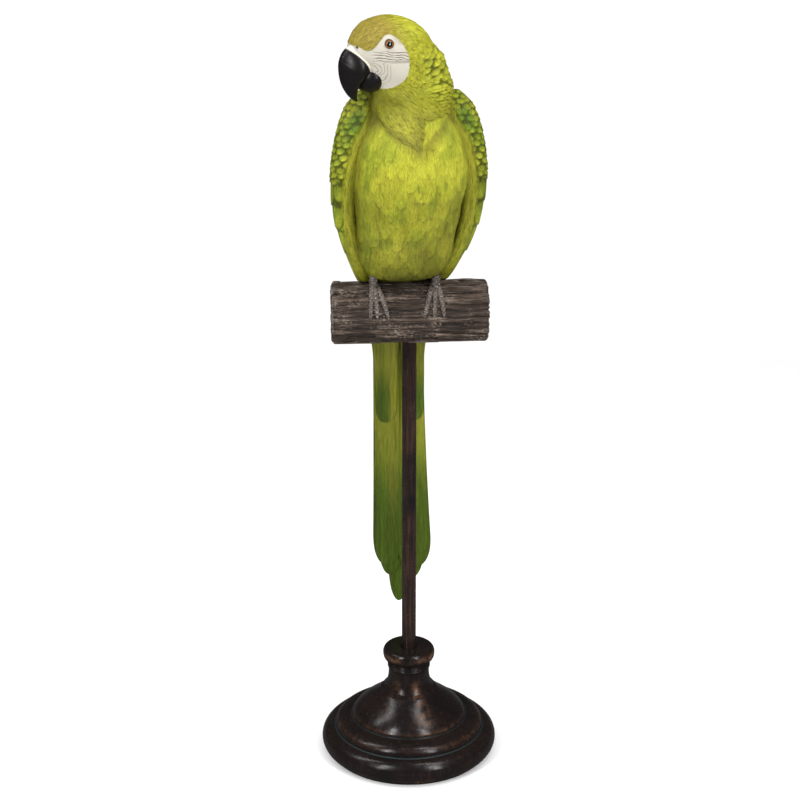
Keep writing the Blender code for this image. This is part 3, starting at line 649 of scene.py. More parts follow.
def clear_of_log(points: Array, skin: float) -> Array:
    """Pushes points that lie inside the log out to its skin.

    Args:
        points: places in the frame.
        skin: radius round the log's axis that is kept free.

    Returns:
        The moved places.
    """
    y, z = points[..., 1], points[..., 2] - PERCH_HEIGHT
    radius = np.maximum(np.hypot(y, z), 1e-6)
    share = np.where((radius < skin) & (np.abs(points[..., 0]) < LOG_HALF), skin / radius, 1.0)
    moved = points.copy()
    moved[..., 1] = y * share
    moved[..., 2] = z * share + PERCH_HEIGHT
    return moved


def oval_points(height: Array, angle: Array, row: Array, power: float) -> Array:
    """Points of level ovals that face -Y turned towards -X.

    Args:
        height: height of each point.
        angle: angle from each oval's front.
        row: side, back, turn, front depth, rear depth, half width and narrowing.
        power: 2 for an ellipse, more for a squarer oval.

    Returns:
        The points.
    """
    side, back, turn, front, rear, half, taper = row
    turn = np.radians(turn)
    cos, sin = np.cos(angle), np.sin(angle)
    ahead = np.sign(cos) * np.abs(cos) ** (2 / power)
    left = half * np.sign(sin) * np.abs(sin) ** (2 / power) * (1 - taper * np.maximum(0.0, ahead))
    ahead = ahead * np.where(ahead > 0, front, rear)
    x = side - ahead * np.sin(turn) + left * np.cos(turn)
    y = back - ahead * np.cos(turn) - left * np.sin(turn)
    return np.stack(np.broadcast_arrays(x, y, height), axis=-1)


def run_length(points: Array, axis: int) -> Array:
    """Distances along the rows or columns of a sheet, from its first row or column.

    Args:
        points: the sheet's points, by row and column.
        axis: 0 to go down the rows, 1 to go along the columns.

    Returns:
        The distances.
    """
    steps = np.linalg.norm(np.diff(points, axis=axis), axis=2)
    pad = [(1, 0) if axis == 0 else (0, 0), (1, 0) if axis == 1 else (0, 0)]
    return np.cumsum(np.pad(steps, pad), axis=axis)


def head_parts(points: Array) -> tuple[Array, Array, Array]:
    """Splits places in the bird's own directions into forward, left and up of the head.

    Args:
        points: places in the bird's own directions.

    Returns:
        Distances forward and left of the head's middle, and heights.
    """
    x, y = points[..., 0] - HEAD_AXIS[0], points[..., 1] - HEAD_AXIS[1]
    forward = -x * math.sin(HEAD_TURN) - y * math.cos(HEAD_TURN)
    left = x * math.cos(HEAD_TURN) - y * math.sin(HEAD_TURN)
    return forward, left, points[..., 2]


def head_places(forward: Array, left: Array, height: Array) -> Array:
    """Places in the bird's own directions, from the head's own directions.

    Args:
        forward: distances forward of the head's middle.
        left: distances to its left.
        height: heights.

    Returns:
        Places in the bird's own directions.
    """
    x = HEAD_AXIS[0] - forward * math.sin(HEAD_TURN) + left * math.cos(HEAD_TURN)
    y = HEAD_AXIS[1] - forward * math.cos(HEAD_TURN) - left * math.sin(HEAD_TURN)
    return np.stack(np.broadcast_arrays(x, y, height), axis=-1)


@dataclass(frozen=True)
class Trunk:
    """The trunk, from the root of the neck down to the rump behind the log."""

    rows: int = 320
    columns: int = 270
    top: float = 0.1880
    bottom: float = -0.0230
    girth: float = 0.2700
    tufts: FeatherCoat = FeatherCoat(0.0100, 0.0105, 0.0240, 0.7, 0.35, 11)
    tuft_rise: float = 0.0009
    hair_rise: float = 0.00045
    lump_rise: float = 0.0010
    cape_point: float = 0.1510
    cape_slope: float = 0.81
    painted_shade_heights: tuple[float, ...] = (0.035, 0.055, 0.080, 0.098, 0.112, 0.145)
    painted_shade_tones: tuple[float, ...] = (-0.26, -0.11, -0.08, -0.12, -0.02, 0.20)
    front_bunching: float = 0.36
    ledge: float = 0.1035
    ledge_rise: float = 0.0005
    ledge_half_angle: float = 1.3
    neck_fade: tuple[float, float] = (0.166, 0.150)

    def build(self) -> bpy.types.Object:
        """Builds the feathered trunk.

        Returns:
            The new object.
        """
        heights = np.linspace(self.top, self.bottom, self.rows)[:, None]
        turn = full_turn(self.columns, -math.pi)[None, :]
        angle = turn - self.front_bunching * np.sin(turn)
        side, back, half, front, rear = TRUNK.at(heights[:, 0])[:, :, None]
        flat = oval_points(heights, angle, (side, back, 0.0, front, rear, half, 0.0), TRUNK_POWER)
        along = run_length(flat, 0)
        across = self.girth * angle / (2 * math.pi) + 0 * along
        coat = self.tufts.lay(across, along)
        strokes = hair(across, along, 0.0009, 0.0070, 21)
        lumps = soft_noise(across / 0.011, along / 0.016, 31) - 0.5
        ledge = self.ledge + 0.006 * soft_noise(across / 0.016, 0 * along, 35)
        relief = self.tuft_rise * (coat["rise"] - 0.5) + self.hair_rise * strokes + self.lump_rise * lumps
        above = smoothstep(0.0, 0.0050, flat[..., 2] - ledge)
        relief = relief + self.ledge_rise * above * (np.abs(angle) < self.ledge_half_angle)
        relief = relief * smoothstep(*self.neck_fade, heights)
        points = clear_of_log(on_perch(raise_relief(flat, relief)), LOG_SKIN)
        masks = self.paint(flat, angle + 0 * along, across, along, strokes, coat)
        return ring_mesh("breast", points, masks, np.stack([across, along], axis=-1))

    def paint(self, flat: Array, angle: Array, across: Array, along: Array, strokes: Array,
              coat: dict[str, Array]) -> dict[str, Array]:
        """Works out the paint masks.

        Args:
            flat: the smooth surface.
            angle: angle of each point from the front.
            across: distance round the trunk.
            along: distance down the trunk.
            strokes: the hair relief.
            coat: the tufts.

        Returns:
            The masks by name.
        """
        height = flat[..., 2]
        below = self.cape_point + self.cape_slope * np.minimum(np.abs(flat[..., 0]), 0.027) - height
        # Painted shade: a darker band just under the cape's edge, a darker valley where each wing meets the
        # breast, a darker belly low down and a dark smudge between the legs.
        cape_edge_shade = smoothstep(-0.004, 0.001, below) * smoothstep(0.014, 0.001, below)
        wing_valley_shade = smoothstep(0.98, 1.28, np.abs(angle))
        low = smoothstep(0.060, 0.036, height) * smoothstep(1.0, 0.3, np.abs(angle - 0.1))
        low = low + 0.9 * np.exp(-(((angle - 0.22) / 0.22) ** 2 + ((height - 0.062) / 0.010) ** 2))
        blots = soft_noise(across / 0.012, along / 0.014, 5)
        smudge = soft_noise(across / 0.010, along / 0.012, 9)
        # Painted light: brighter towards +X and higher up on the breast.
        right = smoothstep(0.1, 0.8, angle)
        upper = smoothstep(0.085, 0.120, height)
        # Painted shade and light: darker towards the bottom of the trunk, lighter near its top.
        level = np.interp(height, self.painted_shade_heights, self.painted_shade_tones)
        # Painted shade along the edges of the tufts and in the hollows between the hair strokes.
        tuft_edge_shade = 0.18 * (1 - coat["rim"]) * smoothstep(0.35, 0.7, blots)
        # Painted shade: darker green on the flank towards -X.
        flank_shade = 0.22 * smoothstep(0.75, 1.0, np.abs(angle)) * (angle < 0)
        return {
            "groove": tuft_edge_shade + 0.30 * smoothstep(-0.10, -0.34, strokes),
            "tone": 0.20 + 0.25 * coat["rise"] + 0.15 * coat["tone"] + 0.20 * (strokes + 0.5) + 0.05 + level,
            "bright": ((0.12 + 0.60 * right) * upper + 0.28 * smoothstep(0.5, 0.85, blots) * (1 - low))
            * smoothstep(-0.008, 0.006, below),
            "green": 0.34 * smoothstep(0.62, 0.85, smudge) + flank_shade,
            "olive_shade": np.clip(0.60 * wing_valley_shade + 0.62 * cape_edge_shade + 0.70 * low, 0.0, 0.9),
            "mottle": 1 - wing_valley_shade,
        }


@dataclass(frozen=True)
class FaceOutline:
    """The bare white patch on one side of the face, in forward and up of the head."""

    corners: tuple[tuple[float, float], ...] = (
        (0.0500, 0.2297), (0.0337, 0.2297), (0.0315, 0.2289), (0.0280, 0.2266), (0.0249, 0.2277),
        (0.0217, 0.2306), (0.0178, 0.2352), (0.0136, 0.2386), (0.0092, 0.2386), (0.0045, 0.2350),
        (0.0008, 0.2290), (-0.0018, 0.2209), (-0.0010, 0.2104), (0.0036, 0.2020), (0.0102, 0.1970),
        (0.0170, 0.1955), (0.0300, 0.1950), (0.0500, 0.1980),
    )

    def inside(self, forward: Array, up: Array) -> Array:
        """Measures how far points lie inside the outline.

        Args:
            forward: places forward of the head's middle.
            up: heights.

        Returns:
            Distances, negative outside.
        """
        points = np.array(self.corners)
        for _ in range(2):
            following = np.roll(points, -1, axis=0)
            points = np.stack([0.75 * points + 0.25 * following, 0.25 * points + 0.75 * following], axis=1)
            points = points.reshape(-1, 2)
        nearest = np.full(forward.shape, 1.0)
        crossings = np.zeros(forward.shape, dtype=int)
        for (x1, y1), (x2, y2) in zip(points, np.roll(points, -1, axis=0)):
            dx, dy = x2 - x1, y2 - y1
            share = np.clip(((forward - x1) * dx + (up - y1) * dy) / (dx * dx + dy * dy + 1e-12), 0.0, 1.0)
            nearest = np.minimum(nearest, np.hypot(forward - x1 - share * dx, up - y1 - share * dy))
            hit = (y1 > up) != (y2 > up)
            crossings += hit & (forward < x1 + dx * (up - y1) / (dy if abs(dy) > 1e-9 else 1e-9))
        return np.where(crossings % 2 == 1, nearest, -nearest)


@dataclass(frozen=True)
class Head:
    """The head and neck, ending in the cape whose edge comes to a point on the breast."""

    rows: int = 290
    columns: int = 236
    crown_rows: int = 18
    crown: float = 0.2484
    cape_rise: float = 0.0220
    cape_arm: float = 0.0270
    cape_reach: float = 0.0320
    cape_proud: float = 0.0009
    cape_thickness: float = 0.0050
    tuft_depth: float = 0.0020
    round_length: float = 0.027
    hair_rise: float = 0.0006
    lump_rise: float = 0.0007
    scale_rise: float = 0.0017
    skin_depth: float = 0.0004
    crease_depth: float = 0.0004
    gape: tuple[float, float] = (0.0290, 0.2095)
    gape_pitch: float = 0.0023
    level_pitch: float = 0.00205
    face: FaceOutline = FaceOutline()
    scales: FeatherCoat = FeatherCoat(0.0060, 0.0032, 0.0061, 0.60, 0.66, 41)

    def flat_sheet(self) -> tuple[Array, Array]:
        """Lays out the smooth surface, from the cape's edge to the crown.

        Returns:
            The points, and the angle of each from its ring's front.
        """
        turn = full_turn(self.columns, -math.pi)[None, :]
        angle = turn + np.zeros((self.rows, 1))
        fine = np.linspace(CAPE_FOOT, CROWN_RING, 2000)
        depth = HEAD.at(fine)[3]
        length = np.concatenate([[0.0], np.cumsum(np.hypot(np.diff(fine), np.diff(depth)))])
        base = np.interp(np.linspace(0, length[-1], self.rows), length, fine)[:, None]
        share = np.maximum(0.0, 1 - (base - CAPE_FOOT) / self.cape_reach)
        hem = HEAD.at(np.array([CAPE_FOOT]))[:, :, None]
        lowest = oval_points(np.full_like(angle[:1], CAPE_FOOT), angle[:1], hem, HEAD_POWER)
        from_point = np.abs(lowest[..., 0] - CAPE_AXIS[0])
        aside = np.where(lowest[..., 1] < CAPE_AXIS[1], from_point / self.cape_arm, 1.0)
        height = base + self.cape_rise * share * np.minimum(1.0, aside)
        tufts = soft_noise(turn / 0.075, 0 * turn, 77) + 0.5 * soft_noise(turn / 0.035, 0 * turn, 78) - 0.75
        height = height + self.tuft_depth * tufts * share**6
        points = oval_points(height, angle, HEAD.at(height), HEAD_POWER)
        side, back, half, front, rear = TRUNK.at(height)
        x, y = points[..., 0] - side, points[..., 1] - back
        reach = np.hypot(x, y)
        size = (np.abs(x) / half) ** TRUNK_POWER + (np.abs(y) / np.where(y < 0, front, rear)) ** TRUNK_POWER
        edge = reach / np.maximum(size, 1e-9) ** (1 / TRUNK_POWER) + self.cape_proud
        wanted = np.maximum(edge, reach)
        wanted += (edge - wanted) * share**2
        scale = np.where(share > 0, wanted / np.maximum(reach, 1e-9), 1.0)
        points[..., 0] = side + x * scale
        points[..., 1] = back + y * scale
        top = points[-1]
        middle = np.array([*CROWN_AXIS, 0.0])
        caps = []
        for step in range(1, self.crown_rows):
            inward = 1 - step / self.crown_rows
            ring = middle + (top - middle) * inward
            ring[:, 2] = CROWN_RING + (self.crown - CROWN_RING) * (1 - inward**2)
            caps.append(ring)
        angles = np.vstack([angle, np.repeat(turn, len(caps), axis=0)])
        return np.concatenate([points, np.array(caps)]), angles

    def flow(self, flat: Array, angle: Array) -> tuple[Array, Array]:
        """Finds which way the feathers lie: from the beak over the crown and down the neck.

        Args:
            flat: the smooth surface.
            angle: the angle of each point from its ring's front.

        Returns:
            The turn of each point from the middle of the crown and nape, and the distance
            along the feathers.
        """
        forward, left, up = head_parts(flat)
        behind, above = 0.0220 - forward, up - 0.1950
        arc = np.arctan2(np.maximum(above, 0.0), -behind)
        along = 0.040 * arc + 1.3 * np.maximum(-above, 0.0)
        swing = np.arctan2(left, np.hypot(behind, np.maximum(above, 0.0)) - 0.020)
        ragged = 0.006 * (soft_noise(flat[..., 0] / 0.002, flat[..., 1] / 0.002, 87) - 0.5)
        return np.where(up + ragged > 0.199, swing, (angle % (2 * math.pi)) - math.pi), along

    def build(self) -> bpy.types.Object:
        """Builds the feathered head with its paint masks.

        Returns:
            The new object.
        """
        flat, angle = self.flat_sheet()
        forward, _, up = head_parts(flat)
        swing, along = self.flow(flat, angle)
        across = self.round_length * swing
        coat = self.scales.lay(across, along)
        strokes = hair(np.abs(across), along, 0.0008, 0.0024, 51)
        lumps = soft_noise(np.abs(across) / 0.007, along / 0.011, 57) - 0.5
        limit = 0.97 + 0.62 * smoothstep(0.204, 0.194, up)
        nape = smoothstep(limit + 0.16, limit - 0.16, np.abs(swing)) * smoothstep(0.096, 0.110, along)
        nape = nape * smoothstep(0.164, 0.172, up)
        depth = self.face.inside(forward, up)
        bare = smoothstep(-0.0003, 0.0003, depth)
        relief = self.hair_rise * strokes + self.lump_rise * lumps
        relief = relief * (1 - nape) + nape * self.scale_rise * (coat["rise"] - 0.40)
        phase, creased = self.creases(forward, up)
        lines = creased * smoothstep(0.2, 1.0, np.cos(2 * math.pi * phase))
        relief = relief * (1 - bare) - (self.skin_depth + self.crease_depth * lines) * bare
        points = raise_relief(flat, relief)
        inner = points[:1].copy()
        offset = np.array([*CAPE_AXIS, 0.0]) - inner
        offset[..., 2] = self.cape_thickness
        inner = inner + offset / np.linalg.norm(offset, axis=2, keepdims=True) * self.cape_thickness
        points = np.concatenate([inner, points])
        masks = self.paint(flat, strokes, coat, nape, depth)
        masks["crease"] = phase / CREASE_PHASES
        masks["creased"] = creased
        masks = {label: np.vstack([value[:1], value]) for label, value in masks.items()}
        flow = np.stack([np.abs(across), along], axis=-1)
        return ring_mesh("head", on_perch(points), masks, np.concatenate([flow[:1], flow]))

    def creases(self, forward: Array, up: Array) -> tuple[Array, Array]:
        """Lays the creases of the bare skin: level ones under the eye, round ones at the gape.

        Args:
            forward: places forward of the head's middle.
            up: heights.

        Returns:
            A phase that is whole in the middle of each crease, and the creases' strength.
        """
        wander = 1.1 * soft_noise(forward / 0.0065, up / 0.0045, 93)
        wander = wander + 0.4 * soft_noise(forward / 0.002, up / 0.002, 94)
        gape = np.hypot(forward - self.gape[0], up - self.gape[1])
        slanted = 0.2263 - up + 0.16 * (forward - 0.0120)
        level = slanted / self.level_pitch + 0.30 * np.sin(forward / 0.0024)
        mix = smoothstep(0.2150, 0.2195, up)
        phase = level * mix + gape / self.gape_pitch * (1 - mix) + wander
        under_eye = smoothstep(0.2275, 0.2258, up) * smoothstep(0.2160, 0.2190, up)
        under_eye = under_eye * smoothstep(0.0270, 0.0200, forward)
        round_gape = 0.50 * (1 - mix) * smoothstep(0.0200, 0.0150, gape)
        brow = 0.45 * smoothstep(0.0100, 0.0040, forward) * smoothstep(0.2290, 0.2330, up)
        return phase, np.clip(np.maximum(np.maximum(under_eye, round_gape), brow), 0.0, 1.0)

    def paint(self, flat: Array, strokes: Array, coat: dict[str, Array], nape: Array,
              depth: Array) -> dict[str, Array]:
        """Works out the paint masks.

        Args:
            flat: the smooth surface.
            strokes: the hair relief.
            coat: the raised scales.
            nape: where those scales show.
            depth: how far points lie inside the bare patch.

        Returns:
            The masks by name.
        """
        forward, _, up = head_parts(flat)
        from_edge = run_length(flat, 0)
        # Painted shade: darker just above the cape's edge and on the throat under the beak.
        cape_edge_shade = smoothstep(0.017, 0.002, from_edge)
        throat_shade = smoothstep(0.205, 0.190, up) * smoothstep(-0.020, 0.010, forward)
        scale_tone = 0.20 + 0.3 * coat["tone"] + 0.5 * coat["rise"]
        return {
            "face_edge": np.clip(0.5 + depth / 0.01, 0.0, 1.0),
            # Painted shade over a dark wash: the covered root of each nape scale and the hollows between hair
            # strokes are darkened.
            "groove": 0.75 * (1 - (0.45 + 0.55 * coat["rim"]) * smoothstep(0.30, 0.54, coat["rise"])) * nape
            + smoothstep(-0.08, -0.34, strokes) * (1 - nape) * (0.40 - 0.28 * smoothstep(0.220, 0.232, up)),
            "tone": scale_tone * nape + (1 - nape) * (0.62 * strokes + 0.58),
            "ochre": 0.9 * smoothstep(-0.010, 0.014, forward) * smoothstep(0.218, 0.232, up),
            "olive_shade": np.clip(0.45 * cape_edge_shade + 0.35 * throat_shade, 0, 0.7),
            "bright": 0.50 * smoothstep(0.228, 0.241, up) * smoothstep(0.008, -0.010, forward) + 0.45 * nape
            + 0.60 * smoothstep(0.008, 0.024, flat[..., 0]) * smoothstep(0.186, 0.168, up),
            "green": 0.35 * nape * (1 - coat["rise"]),
            "mottle": 0.7 + 0 * up,
        }


@dataclass(frozen=True)
class Tier:
    """One row of coverts: lowest height at the nose, step, feather width and pitch."""

    edge: float
    step: float
    width: float
    pitch: float


@dataclass(frozen=True)
class Wing:
    """One folded wing: small scales on the shoulder, two rows of coverts, then long feathers."""

    name: str
    side: int
    inner_bright: float
    inner_face_shade: float
    rows: int = 300
    nose_columns: int = 56
    outer_columns: int = 116
    inner_columns: int = 36
    tiers: tuple[Tier, ...] = (
        Tier(0.0770, 0.0004, 0.0125, 0.0230),
        Tier(0.0980, 0.0008, 0.0105, 0.0200),
        Tier(0.1160, 0.0012, 0.0066, 0.0050),
    )
    drop: float = 0.0160
    scale_rise: float = 0.0016
    long_rise: float = 0.0012
    shoulder_lift: float = 0.0
    middle: float = -0.0005
    lean: float = 0.0220
    long_feathers: FeatherCoat = FeatherCoat(0.0074, 0.0500, 0.1400, 0.10, 0.85, 71)

    def flat_sheet(self) -> Array:
        """Lays out the smooth wing, from the shoulder down.

        Returns:
            Rings that run from the breast over the nose to the back, and home inside.
        """
        fine = np.linspace(WING_FOOT, WING_TOP, 2000)
        length = np.concatenate([[0.0], np.cumsum(np.hypot(np.diff(fine), np.diff(WING.at(fine)[0])))])
        heights = np.interp(np.linspace(length[-1], 0, self.rows), length, fine)[:, None]
        half, nose_back, rear, nose, thick, cover = WING.at(heights[:, 0])[:, :, None]
        nose_angle = math.pi * (1 - np.arange(self.nose_columns) / self.nose_columns)[None, :]
        sweep = 0.5 * math.pi * np.minimum(cover, 1.0)
        depth = rear - nose_back
        outer = sweep * np.linspace(0, 1, self.outer_columns)[None, :]
        inner = sweep * 0.97 * np.linspace(1, 0.0, self.inner_columns + 1)[None, :-1]
        inner_share = np.maximum(0.05, 1 - thick / half)
        back_share = np.maximum(0.05, 1 - thick / np.maximum(depth, thick * 1.2))
        across = np.hstack([
            half - nose + nose * np.cos(nose_angle),
            half * np.cos(outer) ** (2 / WING_POWER),
            half * inner_share * np.cos(inner) ** (2 / WING_POWER),
        ])
        back = np.hstack([
            nose_back - 0.8 * nose * np.sin(nose_angle),
            nose_back + depth * np.sin(outer) ** (2 / WING_POWER),
            nose_back + depth * back_share * np.sin(inner) ** (2 / WING_POWER),
        ])
        middle = self.middle + self.lean * (heights - WING_TOP)
        lifted = heights + self.shoulder_lift * smoothstep(0.150, WING_TOP, heights)
        return np.stack(np.broadcast_arrays(middle + self.side * across, back, lifted), axis=-1)

    def build(self) -> bpy.types.Object:
        """Builds the feathered wing.

        Returns:
            The new object.
        """
        flat = self.flat_sheet()
        run = run_length(flat, 1)
        run = run - run[:, self.nose_columns // 2: self.nose_columns // 2 + 1]
        down = run_length(flat, 0)
        column = np.arange(flat.shape[1])[None, :] + np.zeros_like(down)
        back_edge = self.nose_columns + self.outer_columns
        over_top = 0.0060 * smoothstep(0.150, 0.176, flat[..., 2])
        outside = smoothstep(0.0010, 0.0042, run + over_top)
        outside = outside * smoothstep(back_edge + 2, back_edge - 6, column)
        share_back = np.clip((column - self.nose_columns) / self.outer_columns, 0.0, 1.0)
        height = flat[..., 2]
        long_coat = self.long_feathers.lay(run + 0.10 * down, down)
        rise, rim = self.long_rise * (long_coat["rise"] - 0.5 * np.abs(long_coat["side"])), long_coat["rim"]
        tone = long_coat["tone"]
        tip = smoothstep(0.35, 0.8, np.abs(long_coat["side"]))
        for number, tier in enumerate(self.tiers):
            scallop = np.sqrt(np.clip(1 - (2 * ((run / tier.width) % 1.0) - 1) ** 2, 0, 1))
            limit = tier.edge + 0.0040 - self.drop * share_back - 0.0050 * scallop
            inside = height > limit
            coat = FeatherCoat(tier.width, tier.pitch, 1.9 * tier.pitch, 0.45, 0.60, 81 + number)
            coat = coat.lay(run, down)
            rise = np.where(inside, tier.step + self.scale_rise * coat["rise"], rise)
            # Painted shadow: the root of each scale under the row above, a strip just under each tier's edge
            # and the tier's own lower edge are darkened through rim.
            near = smoothstep(0.0014, 0.0, height - limit) * inside
            below = smoothstep(0.0022, 0.0, limit - height) * ~inside
            under = smoothstep(0.40, 0.56, coat["rise"])
            rim = np.where(inside, np.minimum(coat["rim"] * under, 1 - 0.5 * near), rim) * (1 - 0.9 * below)
            tone = np.where(inside, coat["tone"], tone)
            tip = np.where(inside, smoothstep(0.55, 0.95, coat["rise"]), tip)
        strokes = hair(run, down, 0.0009, 0.0060, 91)
        relief = (rise - 0.0006) * outside * smoothstep(0.1845, 0.170, height) + 0.00025 * strokes
        points = clear_of_log(on_perch(raise_relief(flat, relief)), LOG_SKIN)
        # Painted shade on the inner face of the wing, towards the breast.
        inner_face = smoothstep(0.0020, -0.0010, run) * smoothstep(back_edge + 2, back_edge, column)
        inner_face = np.maximum(inner_face, column > back_edge)
        nose = smoothstep(-0.0120, -0.0030, run) * smoothstep(0.0060, 0.0010, run)
        smoke = soft_noise(run / 0.014, down / 0.020, 3)
        haze = 0.15 + 0.60 * smoothstep(0.25, 0.75, smoke)
        spot = np.exp(-(((run - 0.004) / 0.006) ** 2 + ((height - 0.166) / 0.008) ** 2))
        masks = {
            "groove": 0.90 * (1 - rim) * outside + 0.3 * smoothstep(-0.1, -0.3, strokes),
            "tone": 0.26 + (0.35 * tone + 0.15 * tip) * outside + 0.35 * (strokes + 0.5),
            "bright": np.clip(self.inner_bright * nose + 0.45 * tip * outside, 0, 1),
            "green": np.clip(outside * haze * (1 - 0.5 * tip) + spot, 0, 1),
            "olive_shade": self.inner_face_shade * inner_face * (1 - nose),
            "mottle": 0.5 + 0 * down,
        }
        return ring_mesh(self.name, points, masks, np.stack([run, down], axis=-1))


@dataclass(frozen=True)
class TailFeather:
    """One tail feather: a slightly arched blade with a shaft and a round end."""

    side: float
    root_half: float
    end_half: float
    top: float
    end: float
    layer: float
    rows: int = 170
    columns: int = 44
    thickness: float = 0.0034
    sag: float = 0.0036
    tip_rows: int = 26
    straight_share: float = 0.86
    tip_share: float = 0.14
    shaft_rise: float = 0.0006
    shaft_half: float = 0.0011
    streak_rise: float = 0.0004
    layer_gap: float = 0.0019

    def build(self, name: str) -> bpy.types.Object:
        """Builds the blade.

        Args:
            name: the piece's name.

        Returns:
            The new object.
        """
        root, tip = np.array(TAIL_ROOT), np.array(TAIL_TIP)
        straight = np.linspace(0, self.straight_share, self.rows - self.tip_rows, endpoint=False)
        turning = np.sin(np.linspace(0, 0.5 * math.pi * 0.985, self.tip_rows))
        ending = self.straight_share + self.tip_share * turning
        share = np.concatenate([straight, ending])[:, None]
        height = self.top + (self.end - self.top) * share
        place = root + (tip - root) * ((height - root[2]) / (tip[2] - root[2]))
        past = np.maximum(0.0, share - self.straight_share) / self.tip_share
        rounding = np.sqrt(np.maximum(0.0, 1 - past**2.4))
        half = (self.root_half + (self.end_half - self.root_half) * share**2) * np.maximum(rounding, 0.03)
        half = half + 0.0026 * smoothstep(-0.056, -0.026, height)
        thick = 0.5 * self.thickness * np.maximum(rounding, 0.25)
        turn = full_turn(self.columns)[None, :]
        vane = np.sign(np.cos(turn)) * np.abs(np.cos(turn)) ** 0.8
        across = half * vane
        arch = self.sag * ((self.side + across) / 0.0220) ** 2
        front = np.sin(turn) < 0
        edge = np.sqrt(np.clip(1 - vane**2, 0, 1)) ** 0.6
        shaft = self.shaft_rise * np.exp(-((across / self.shaft_half) ** 2)) * rounding
        streak = soft_noise((self.side + across) / 0.0013, height / 0.045, 19) - 0.5
        face = thick * edge + np.where(front, shaft, 0.5 * shaft) + self.streak_rise * streak * rounding
        back = self.layer * self.layer_gap - arch + np.where(front, -face, face)
        parts = np.broadcast_arrays(place[:, :1] + self.side + across, place[:, 1:2] + back, height)
        points = np.stack(parts, axis=-1)
        masks = self.paint(self.side + across, height + 0 * across, vane + 0 * height, streak, rounding)
        flow = np.stack([self.side + across, -0.2 * height + 0 * across], axis=-1)
        return ring_mesh(name, on_perch(points), masks, flow)

    def paint(self, across: Array, height: Array, vane: Array, streak: Array,
              rounding: Array) -> dict[str, Array]:
        """Works out the paint masks.

        Args:
            across: place over the tail.
            height: height of each point.
            vane: place over the feather, from -1 to 1.
            streak: long streaks from -0.5 to 0.5.
            rounding: 1 along the feather, 0 at its end.

        Returns:
            The masks by name.
        """
        covert = self.layer < 1
        edge = smoothstep(0.55, 0.95, np.abs(across) / 0.022)
        strip = smoothstep(0.0060, 0.0020, np.abs(across + 0.0060))
        # Painted shade: the tail is kept darker than the body, the long feathers darker still lower down and
        # a little lighter towards +X.
        if covert:
            patch = smoothstep(0.0100, 0.0025, np.abs(across + 0.0150)) * smoothstep(-0.056, -0.100, height)
            green = 0.85 * np.maximum(patch, 0.8 * (across > 0) * smoothstep(-0.060, -0.090, height)) + 0.34
            bright = 0.45 * smoothstep(-0.085, -0.050, height) * (1 - patch) + 0.25 * strip
            level = 0.38 - 0.12 * patch
        else:
            green = smoothstep(-0.110, -0.235, height) * (1 - 0.30 * strip) + 0.36 + 0.35 * streak
            bright = 0.55 * edge * smoothstep(-0.190, -0.130, height) + 0.15 * strip
            level = 0.38 - 0.18 * smoothstep(-0.130, -0.205, height) + 0.06 * (across > 0.006)
        rim = smoothstep(0.86, 0.99, np.abs(vane)) + smoothstep(0.35, 0.1, rounding)
        return {
            "groove": np.clip(0.45 * rim + 0.6 * smoothstep(0.18, 0.42, streak), 0, 1) + 0 * across,
            "tone": level + 0.32 * streak,
            "green": np.clip(green, 0, 1),
            "bright": np.clip(bright * (1 - smoothstep(-0.2, -0.25, height)), 0, 1),
            "ochre": 0.20 * strip * smoothstep(-0.215, -0.180, height),
            "mottle": 0.35 + 0 * across,
        }


TAIL_FEATHERS = (
    TailFeather(0.0115, 0.0094, 0.0086, -0.0050, -0.1150, 0.0),
    TailFeather(-0.0115, 0.0108, 0.0088, -0.0050, -0.1160, 0.3),
    TailFeather(0.0110, 0.0088, 0.0166, 0.0020, -0.2590, 1.0),
    TailFeather(-0.0110, 0.0110, 0.0140, 0.0020, -0.2550, 1.3),
    TailFeather(0.0095, 0.0100, 0.0115, 0.0040, -0.2700, 2.0),
    TailFeather(-0.0085, 0.0100, 0.0110, 0.0040, -0.2660, 2.3),
    TailFeather(0.0040, 0.0090, 0.0085, 0.0060, -0.2760, 3.0),
    TailFeather(-0.0010, 0.0095, 0.0092, 0.0080, -0.2940, 3.6),
)


@dataclass(frozen=True)
class Beak:
    """The black beak: a hooked upper half over a round lower half."""

    pivot: tuple[float, float] = (0.0220, 0.2010)
    rows: int = 130
    columns: int = 80
    jaw_middle: tuple[float, float] = (0.0196, 0.2036)
    jaw_halves: tuple[float, float, float] = (0.0120, 0.0174, 0.0132)
    jaw_rows: int = 60
    cere_edge: float = 58.0
    cere_slant: float = 20.0

    def build_upper(self) -> bpy.types.Object:
        """Builds the hooked half.

        Returns:
            The new object.
        """
        steps = np.linspace(BEAK_ROOT, BEAK_TIP, self.rows)
        outer, inner, half = BEAK.at(steps)[:, :, None]
        angle = -np.radians(steps)[:, None]
        turn = full_turn(self.columns)[None, :]
        share = 0.5 + 0.5 * np.cos(turn)
        growth = 0.00005 * np.sin(steps[:, None] * 0.9 + 3 * share) * smoothstep(-60, -40, steps[:, None])
        reach = inner + (outer + growth - inner) * share
        width = half * np.sin(turn) * (1.12 - 0.55 * share**2)
        forward = self.pivot[0] + reach * np.cos(angle)
        points = head_places(forward, width, self.pivot[1] + reach * np.sin(angle))
        limit = self.cere_edge + self.cere_slant * (1 - share)
        cere = smoothstep(limit - 1.2, limit + 1.2, -steps[:, None])
        return ring_mesh("upper_beak", on_perch(points), {"cere": cere})

    def build_lower(self) -> bpy.types.Object:
        """Builds the round half.

        Returns:
            The new object.
        """
        long, wide, high = self.jaw_halves
        angle = np.linspace(0.03, math.pi - 0.03, self.jaw_rows)[:, None]
        turn = full_turn(self.columns)[None, :]
        height = self.jaw_middle[1] - high * np.cos(angle) + 0 * turn
        forward = self.jaw_middle[0] + long * np.sin(angle) * np.cos(turn)
        points = head_places(forward, wide * np.sin(angle) * np.sin(turn), height)
        return ring_mesh("lower_beak", on_perch(points), {"cere": np.zeros_like(height)})


